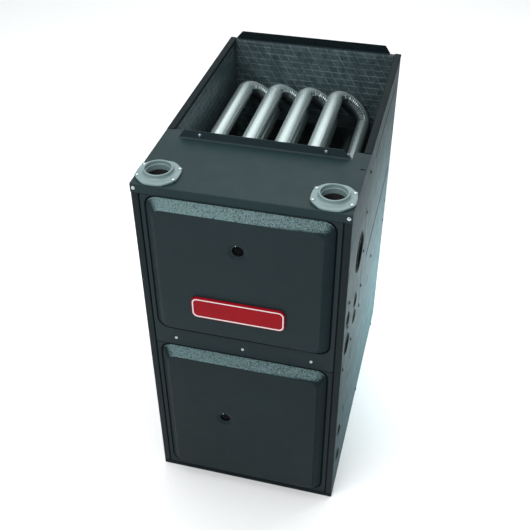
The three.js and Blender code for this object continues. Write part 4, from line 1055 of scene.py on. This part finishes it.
def board_material():
    m, nt, p = new_mat("circuit_board")
    vec = coords(nt)
    # copper runs under green resist
    v = nt.nodes.new("ShaderNodeTexVoronoi")
    v.distance = "MANHATTAN"
    v.inputs["Scale"].default_value = 120.0
    nt.links.new(vec, v.inputs["Vector"])
    d = maprange(nt, v.outputs["Distance"], 0.35, 0.42, 0.0, 1.0)
    mix = nt.nodes.new("ShaderNodeMix"); mix.data_type = "RGBA"
    nt.links.new(d, mix.inputs["Factor"])
    mix.inputs["A"].default_value = (0.010, 0.075, 0.030, 1)
    mix.inputs["B"].default_value = (0.022, 0.125, 0.050, 1)
    nt.links.new(mix.outputs["Result"], p.inputs["Base Color"])
    nt.links.new(bump(nt, d, 0.25, 0.0003), p.inputs["Normal"])
    nt.links.new(maprange(nt, noise_tex(nt, vec, 60.0), 0.3, 0.7, 0.24, 0.36), p.inputs["Roughness"])
    return m
MAT["board"] = board_material()

def winding_material():
    m, nt, p = new_mat("transformer_steel")
    vec = coords(nt, (1.0, 30.0, 1.0))
    n = noise_tex(nt, vec, 60.0, 3.0)
    nt.links.new(ramp(nt, n, [(0.3, (0.20, 0.17, 0.15)), (0.7, (0.34, 0.29, 0.25))]), p.inputs["Base Color"])
    nt.links.new(bump(nt, n, 0.5, 0.0006), p.inputs["Normal"])
    nt.links.new(maprange(nt, n, 0.3, 0.7, 0.4, 0.6), p.inputs["Roughness"])
    p.inputs["Metallic"].default_value = 0.6
    return m
MAT["lamination"] = winding_material()
insulation()

# ---------------------------------------------------------------- base rail
def base_rail():
    P = Parts()
    x0, x1 = XI0, XI1
    n = 30
    xs = [x0 + (x1 - x0) * i / n for i in range(n + 1)]
    sec = [(0.25, 13.7), (0.0, 13.4), (0.0, 1.8)] + [(1.8 - 1.8 * math.cos(math.radians(22.5 * i)), 1.8 - 1.8 * math.sin(math.radians(22.5 * i))) for i in range(1, 5)] + [(28.0, 0.0)]
    v, f = bands([[(x, y, z) for x in xs] for y, z in sec], closed=False)
    P.add(v, f, 0, flip=True)
    o = P.make("base_rail", ["flange"], "cabinet", angle=50, replaces=("base_rail",), slot="dark")
    s = o.modifiers.new("thickness", "SOLIDIFY"); s.thickness, s.offset = T / 1000.0, -1.0
base_rail()

# ------------------------------------------------------------ finned coil
def finned_coil():
    P = Parts()
    def slab(x0, x1, y0, y1, z0, z1, mat):
        v = [(x, y, z) for x in (x0, x1) for y in (y0, y1) for z in (z0, z1)]
        P.add(v, [(0, 1, 3, 2), (4, 6, 7, 5), (0, 4, 5, 1), (2, 3, 7, 6), (0, 2, 6, 4), (1, 5, 7, 3)], mat)
    x = 66.0
    while x < 379.5:
        slab(x, x + 0.3, 238.0, 652.5, 484.0, 596.0, 0)
        x += 3.4
    for x0 in (62.0, 381.4):
        slab(x0, x0 + 1.6, 236.0, 654.7, 482.0, 598.0, 1)
    slab(62.0, 383.0, 236.0, 237.4, 482.0, 598.0, 1)
    slab(62.0, 383.0, 653.3, 654.7, 482.0, 598.0, 1)
    for j, z in enumerate((500.0, 520.0, 540.0, 560.0, 580.0)):
        for y in range(252 + 11 * (j % 2), 645, 22):
            v, f = lathe([(4.8, 63.8), (4.8, 381.2)], 12, lambda a, b, h, y=y, z=z: (h, y + a, z + b))
            P.add(v, f, 2)
    P.make("secondary_coil_fins", ["fin", "galv", "tube_dark"], "cabinet", angle=40, replaces=("secondary_coil",), slot="fin")
finned_coil()

# a small bright zinc tab on the corner of the duct flange's cut end, placed to give the glint seen there: a painted
# highlight
def flange_end():
    P = Parts()
    y = DUCT_Y - T - 0.2
    pts = [(399.0, 889.0), (408.6, 877.3), (410.2, 878.6), (403.0, 890.0)]
    v = [(x, y, z) for x, z in pts] + [(x, y - 1.2, z) for x, z in pts]
    P.add(v, [(0, 1, 2, 3), (7, 6, 5, 4), (0, 4, 5, 1), (1, 5, 6, 2), (2, 6, 7, 3), (3, 7, 4, 0)], 0)
    P.make("duct_flange_tab", ["zinc_and_painted_glint"], "cabinet", angle=30, slot="screw")
flange_end()

# ------------------------------------------------------- inner CAD pieces
def dress(names, key, bevel=0.5, angle=35.0):
    for n in names:
        o = NODES[n]
        o.data.materials.clear()
        o.data.materials.append(MAT[key])
        for poly in o.data.polygons:
            poly.material_index = 0
            poly.use_smooth = True
        o.data.set_sharp_from_angle(angle=math.radians(angle))
        if bevel:
            b = o.modifiers.new("edge", "BEVEL")
            b.width, b.segments, b.limit_method, b.angle_limit = bevel / 1000.0, 2, "ANGLE", math.radians(50)
            b.use_clamp_overlap = True
            w = o.modifiers.new("normals", "WEIGHTED_NORMAL"); w.keep_sharp = True

MAT["trap"] = moulded("trap_plastic", (0.50, 0.50, 0.47), 0.4, 0.08, 0.05)
MAT["housing"] = moulded("inducer_plastic", (0.024, 0.026, 0.028), 0.42, 0.2)
MAT["switchp"] = moulded("switch_plastic", (0.42, 0.43, 0.43), 0.4, 0.08)
MAT["cast"] = metal("cast_aluminium", (0.52, 0.54, 0.54), 0.5, None, 0.12, 0.35)
MAT["steelbox"] = galvanised("burner_sheet", (0.40, 0.43, 0.43), 0.46)
dress(["bottom_panel", "mid_rail", "blower_deck", "junction_box", "control_bracket"], "galv", 0.3)
dress(["vestibule_partition"], "galv_dull", 0.3)
dress(["blower_housing", "motor_mount", "blower_wheel", "inducer_wheel"], "galv", 0.3)
dress(["burner_box", "burner_1", "burner_2", "burner_3", "burner_4"], "steelbox", 0.3)
dress(["rear_header"], "darkmetal", 0.6)
dress(["collector_box", "inducer_housing"], "housing", 0.8)
dress(["vent_pipe", "intake_elbow"], "enamel", 0.3, 60)
dress(["inducer_motor", "blower_motor"], "enamel", 0.8)
dress(["gas_manifold"], "enamel", 0.4)
dress(["gas_valve"], "cast", 0.8)
dress(["gas_valve_knob", "reset_button_left", "reset_button_right"], "redbtn", 0.5)
dress(["igniter", "flame_sensor"], "ceramic", 0.4)
dress(["rollout_switch_left", "rollout_switch_right"], "black", 0.3)
dress(["pressure_switch_1", "pressure_switch_2"], "switchp", 0.5)
dress(["condensate_trap"], "trap", 0.8)
dress(["drain_hose"], "rubber", 0.2, 60)
dress(["transformer"], "lamination", 0.8)
dress(["door_switch"], "black", 0.4)
dress(["door_switch_plunger"], "ceramic", 0.4)

# ------------------------------------------- control board, wiring and hoses
def cuboid(P, x0, x1, y0, y1, z0, z1, mat):
    v = [(x, y, z) for x in (x0, x1) for y in (y0, y1) for z in (z0, z1)]
    P.add(v, [(0, 1, 3, 2), (4, 6, 7, 5), (0, 4, 5, 1), (2, 3, 7, 6), (0, 2, 6, 4), (1, 5, 7, 3)], mat)

def upright(P, prof, x, y, z, mat, n=20):
    """Turned part standing out of the board, along -Y."""
    v, f = lathe(prof, n, lambda a, b, h: (x + a, y - h, z + b))
    P.add(v, f[:-1], mat)

def control_board():
    P = Parts()
    cuboid(P, 104, 253, 62.4, 64, 172, 336, 0)
    for x in (121, 143, 165):
        cuboid(P, x - 9, x + 9, 46, 62.4, 180, 206, 1)
        cuboid(P, x - 8, x + 8, 45.6, 46, 181, 205, 1)
    cuboid(P, 182, 214, 58, 62.4, 182, 204, 3)
    cuboid(P, 186, 210, 42, 58, 184, 202, 4)
    cuboid(P, 222, 246, 52, 62.4, 178, 230, 2)
    for k in range(6):
        for x in (229, 239):
            cuboid(P, x - 1.6, x + 1.6, 50.6, 52.2, 182.5 + 8 * k, 186.5 + 8 * k, 1)
    cuboid(P, 112, 160, 50, 62.4, 292, 328, 3)
    for k in range(5):
        cuboid(P, 116 + 9 * k, 117 + 9 * k, 46.5, 52, 298, 304, 5)
        cuboid(P, 116 + 9 * k, 117 + 9 * k, 46.5, 52, 312, 318, 5)
    cuboid(P, 170, 208, 54, 62.4, 300, 326, 1)
    cuboid(P, 216, 246, 51, 62.4, 262, 330, 6)
    for k in range(7):
        z = 267 + 9.6 * k
        upright(P, [(3.4, 0.0), (3.4, 1.0), (3.0, 1.3), (0.01, 1.35)], 238, 51.1, z, 5)
        cuboid(P, 235.2, 240.8, 49.5, 50.1, z - 0.5, z + 0.5, 1)
        cuboid(P, 216.5, 226, 50.2, 51.2, z - 2.6, z + 2.6, 1)
    cuboid(P, 118, 142, 58.6, 62.4, 226, 250, 1)
    for k in range(8):
        for x in (115.6, 142.2):
            cuboid(P, x, x + 2.2, 61.2, 62.4, 228 + 2.6 * k, 229.2 + 2.6 * k, 5)
    cuboid(P, 150, 200, 57.4, 62.4, 262, 286, 3)
    cuboid(P, 154, 196, 54.5, 57.4, 268, 280, 7)
    for x, z, r, h in ((152, 222, 5.2, 12), (166, 222, 5.2, 12), (182, 222, 4.2, 10), (182, 240, 6.4, 15), (206, 250, 4.2, 9)):
        upright(P, [(r, 0.0), (r, h - 0.8), (r - 0.6, h), (r - 1.2, h)], x, 62.4, z, 1)
        upright(P, [(r - 1.2, h), (r - 1.2, h - 0.3), (0.01, h - 0.3)], x, 62.4, z, 5)
    for x, z in ((150, 244), (160, 244), (196, 212), (206, 216), (196, 234), (120, 264), (120, 272), (120, 280)):
        cuboid(P, x - 1.4, x + 1.4, 60.6, 62.4, z - 3.4, z + 3.4, 7)
    upright(P, [(2.4, 0.0), (2.4, 4.0), (1.7, 5.6), (0.01, 6.2)], 208, 62.4, 288, 7, 16)
    for x, z in ((110, 215), (247, 245), (110, 285), (165, 215)):
        v, f = lathe([(2.5, -0.5), (2.5, 7.2)], 12, lambda a, b, h, x=x, z=z: (x + a, 63 + h, z + b))
        P.add(v, f[:-2], 2)
        upright(P, [(3.2, 0.0), (3.0, 0.9), (1.4, 1.5), (0.01, 1.5)], x, 62.4, z, 2, 16)
    P.make("control_board", ["board", "black", "ceramic", "greyp", "lamination", "zinc_and_painted_glint", "connector", "redbtn"], "cabinet", angle=35, bevel=0.2, replaces=("control_board",), slot="board")

MAT["connector"] = moulded("terminal_strip", (0.055, 0.16, 0.10), 0.45, 0.08)
WIRES = {"red": (0.40, 0.020, 0.018), "blue": (0.020, 0.070, 0.28), "yellow": (0.55, 0.40, 0.035), "white": (0.60, 0.60, 0.57), "brown": (0.115, 0.050, 0.022), "orange": (0.50, 0.15, 0.022)}
for k, c in WIRES.items():
    MAT["wire_" + k] = moulded("wire_" + k, c, 0.42, 0.03, 0.05)
MAT["hose"] = moulded("silicone_hose", (0.020, 0.021, 0.022), 0.5, 0.1)

def line(P, pts, r, mat, bend=9.0, n=10):
    v, f = sweep(route([Vector(p) for p in pts], bend, 7), lambda k, q: r, n)
    P.add(v, f, mat)

def wiring():
    P = Parts()
    mats = ["wire_" + k for k in WIRES]
    ends = [
        [(330, 44, 640), (352, 120, 800), (352, 165, 838), (268, 165, 838), (262, 165, 830)],
        [(160, 52, 492), (96, 70, 560), (92, 112, 640), (92, 118, 672), (85, 118, 672)],
        [(300, 52, 500), (309, 92, 508), (291, 94, 527)],
        [(170, 60, 486), (66, 120, 500), (60, 205, 540), (60, 222, 566), (52, 222, 572)],
        [(344, 60, 600), (348, 150, 700), (344, 208, 760), (327, 210, 772)],
        [(360, 40, 520), (388, 40, 548), (397, 40, 570)],
    ]
    for k, tail in enumerate(ends):
        a = 2 * math.pi * k / 6
        ox, oy = 2.7 * math.cos(a), 2.7 * math.sin(a)
        z = 271.5 + 9.6 * k
        pts = [(221, 51, z), (221 - 0.4 * k, 43 + oy * 0.6, z + 10), (224 + ox, 40 + oy, 348), (262 + ox, 41 + oy, 384), (283 + ox, 44 + oy, 430), (283 + ox, 44 + oy, 474)] + tail
        line(P, pts, 1.25, k, bend=7.0)
    # transformer leads
    for k, (dx, c) in enumerate(((-9, 3), (9, 0), (0, 2))):
        line(P, [(324 + dx, 58, 389), (324 + dx, 46 - k, 372), (292 + dx, 42 - k, 346), (262, 44 - k, 300 + 4 * k), (240, 49, 222 + 6 * k)], 1.25, c, bend=7.0)
    # leads of the motors
    for k, (dx, c) in enumerate(((-4, 1), (0, 0), (4, 3))):
        line(P, [(143 + dx * 1.6, 47, 190 + 3 * k), (143 + dx, 36, 176), (146 + dx, 40, 150), (160 + dx, 90, 130), (190 + dx, 130, 140)], 1.25, c, bend=8.0)
    o = P.make("wiring", mats, "cabinet", angle=60, slot="plastic")
    Q = Parts()
    for z in (448.6,):
        v, f = lathe([(5.2, -3.2), (4.9, -1.0), (4.9, 1.0), (5.2, 3.2), (7.2, 3.6), (9.4, 3.0), (9.8, 1.6), (7.4, 0.9), (7.4, -0.9), (9.8, -1.6), (9.4, -3.0), (7.2, -3.6)], 32, lambda a, b, h: (283 + a, 44 + b, z + h))
        Q.add(v, f[:-2], 0)
    for x, y, z in ((224, 40, 352), (262, 41, 387), (283, 44, 416), (283, 44, 470)):
        v, f = lathe([(4.1, -1.4), (4.7, -1.2), (4.7, 1.2), (4.1, 1.4)], 20, lambda a, b, h: (x + a, y + b, z + h))
        Q.add(v, f[:-2], 0)
    Q.make("wire_ties", ["black"], "cabinet", angle=40, slot="plastic")
    H2 = Parts()
    line(H2, [(38, 199, 578), (38, 184, 578), (46, 176, 556), (104, 178, 538), (112, 186, 534), (112, 199, 534)], 3.4, 0, bend=11.0, n=16)
    line(H2, [(38, 199, 512), (38, 184, 512), (52, 176, 494), (88, 180, 488), (94, 188, 488), (94, 199, 488)], 3.4, 0, bend=11.0, n=16)
    H2.make("pressure_hoses", ["hose"], "cabinet", angle=60, slot="rubber")

def cooling_fan():
    """Small plastic fan on the front of the inducer motor's shaft."""
    P = Parts()
    x, z = 262.0, 556.0
    v, f = lathe([(3.0, 56.0), (8.6, 56.2), (9.2, 57.0), (9.2, 62.6), (33.0, 63.2), (33.0, 64.2), (3.0, 64.2)], 48, lambda a, b, h: (x + a, h, z + b))
    P.add(v, f, 0)
    for k in range(10):
        a = 2 * math.pi * k / 10
        c, d = math.cos(a), math.sin(a)
        pts = [(9.0, -0.6), (32.6, -0.6), (32.6, 0.6), (9.0, 0.6)]
        ring = lambda y: [(x + u * c - w * d, y, z + u * d + w * c) for u, w in pts]
        v, f = bands([ring(63.4), ring(57.2)])
        f.append((7, 6, 5, 4))
        P.add(v, f, 0)
    v, f = lathe([(3.0, 53.0), (3.0, 65.6)], 20, lambda a, b, h: (x + a, h, z + b))
    P.add(v, f, 1)
    P.make("inducer_cooling_fan", ["black", "zinc_and_painted_glint"], "inducer_wheel", angle=35, slot="plastic")

control_board()
wiring()
cooling_fan()

def inner_screws():
    Q = Parts()
    for x in (30.0, 120.0, 230.0, 320.0):
        for z in (740.0, 814.0):
            screw(Q, (x, 99.95, z), (0, -1, 0), 0.75, turn=x + z)
    for x in (80.0, 160.0, 365.0):
        for z in (478.0, 602.0):
            screw(Q, (x, 198.95, z), (0, -1, 0), 0.8, turn=x)
    for x, z in ((100, 168), (257, 168), (100, 438), (257, 438)):
        screw(Q, (x, 69.95, z), (0, -1, 0), 0.8, turn=x)
    for x, z in ((14, 646), (78, 646), (14, 700), (78, 700)):
        screw(Q, (x, 83.95, z), (0, -1, 0), 0.6, turn=x, head="pan")
    Q.make("inner_screws", ["zinc_and_painted_glint"], "cabinet", angle=30, slot="screw")
inner_screws()

# ------------------------------------------------------------ lights, floor
def area(name, loc, target, sx, sy, power, color=(1, 1, 1), spread=180):
    l = bpy.data.lights.new(name, "AREA")
    l.shape, l.size, l.size_y, l.energy, l.color = "RECTANGLE", sx, sy, power, color
    l.spread = math.radians(spread)
    o = bpy.data.objects.new(name, l)
    bpy.context.scene.collection.objects.link(o)
    o.location = loc
    o.rotation_mode = "QUATERNION"
    o.rotation_quaternion = (Vector(target) - Vector(loc)).to_track_quat("-Z", "Y")
    return o

area("sky", (-0.40, 0.5, 3.4), (-0.30, 0.3, 0.0), 3.6, 3.0, 62)
area("bevel_key", (-0.62, -2.25, 3.15), (0.0, -0.3, 0.75), 2.3, 0.8, 66)
area("side_mid", (0.98, 0.60, 0.15), (0.22, 0.32, 0.20), 0.5, 0.24, 9.2, (0.79, 0.965, 1.0), 78).visible_camera = False
area("back_box", (0.30, 3.2, 2.50), (0.0, 0.0, 0.77), 4.6, 2.0, 20.0)
area("back_ceiling", (0.30, 2.75, 3.42), (0.0, 0.3, 0.77), 4.0, 1.3, 13.0)

world = bpy.data.worlds.new("studio")
bpy.context.scene.world = world
world.use_nodes = True
bg = world.node_tree.nodes["Background"]
bg.inputs["Color"].default_value = (0.93, 0.97, 0.98, 1)
bg.inputs["Strength"].default_value = 0.62

def floor():
    m, nt, p = new_mat("floor")
    p.inputs["Base Color"].default_value = (0.93, 0.93, 0.93, 1)
    p.inputs["Roughness"].default_value = 0.75
    p.inputs["Specular IOR Level"].default_value = 0.03
    me = bpy.data.meshes.new("floor")
    s = 14.0
    me.from_pydata([(-s, -s, -0.0005), (s, -s, -0.0005), (s, s, -0.0005), (-s, s, -0.0005)], [], [(0, 1, 2, 3)])
    me.materials.append(m)
    o = bpy.data.objects.new("floor", me)
    bpy.context.scene.collection.objects.link(o)
floor()

bpy.context.scene.view_settings.view_transform = "Standard"
bpy.context.scene.view_settings.look = "None"
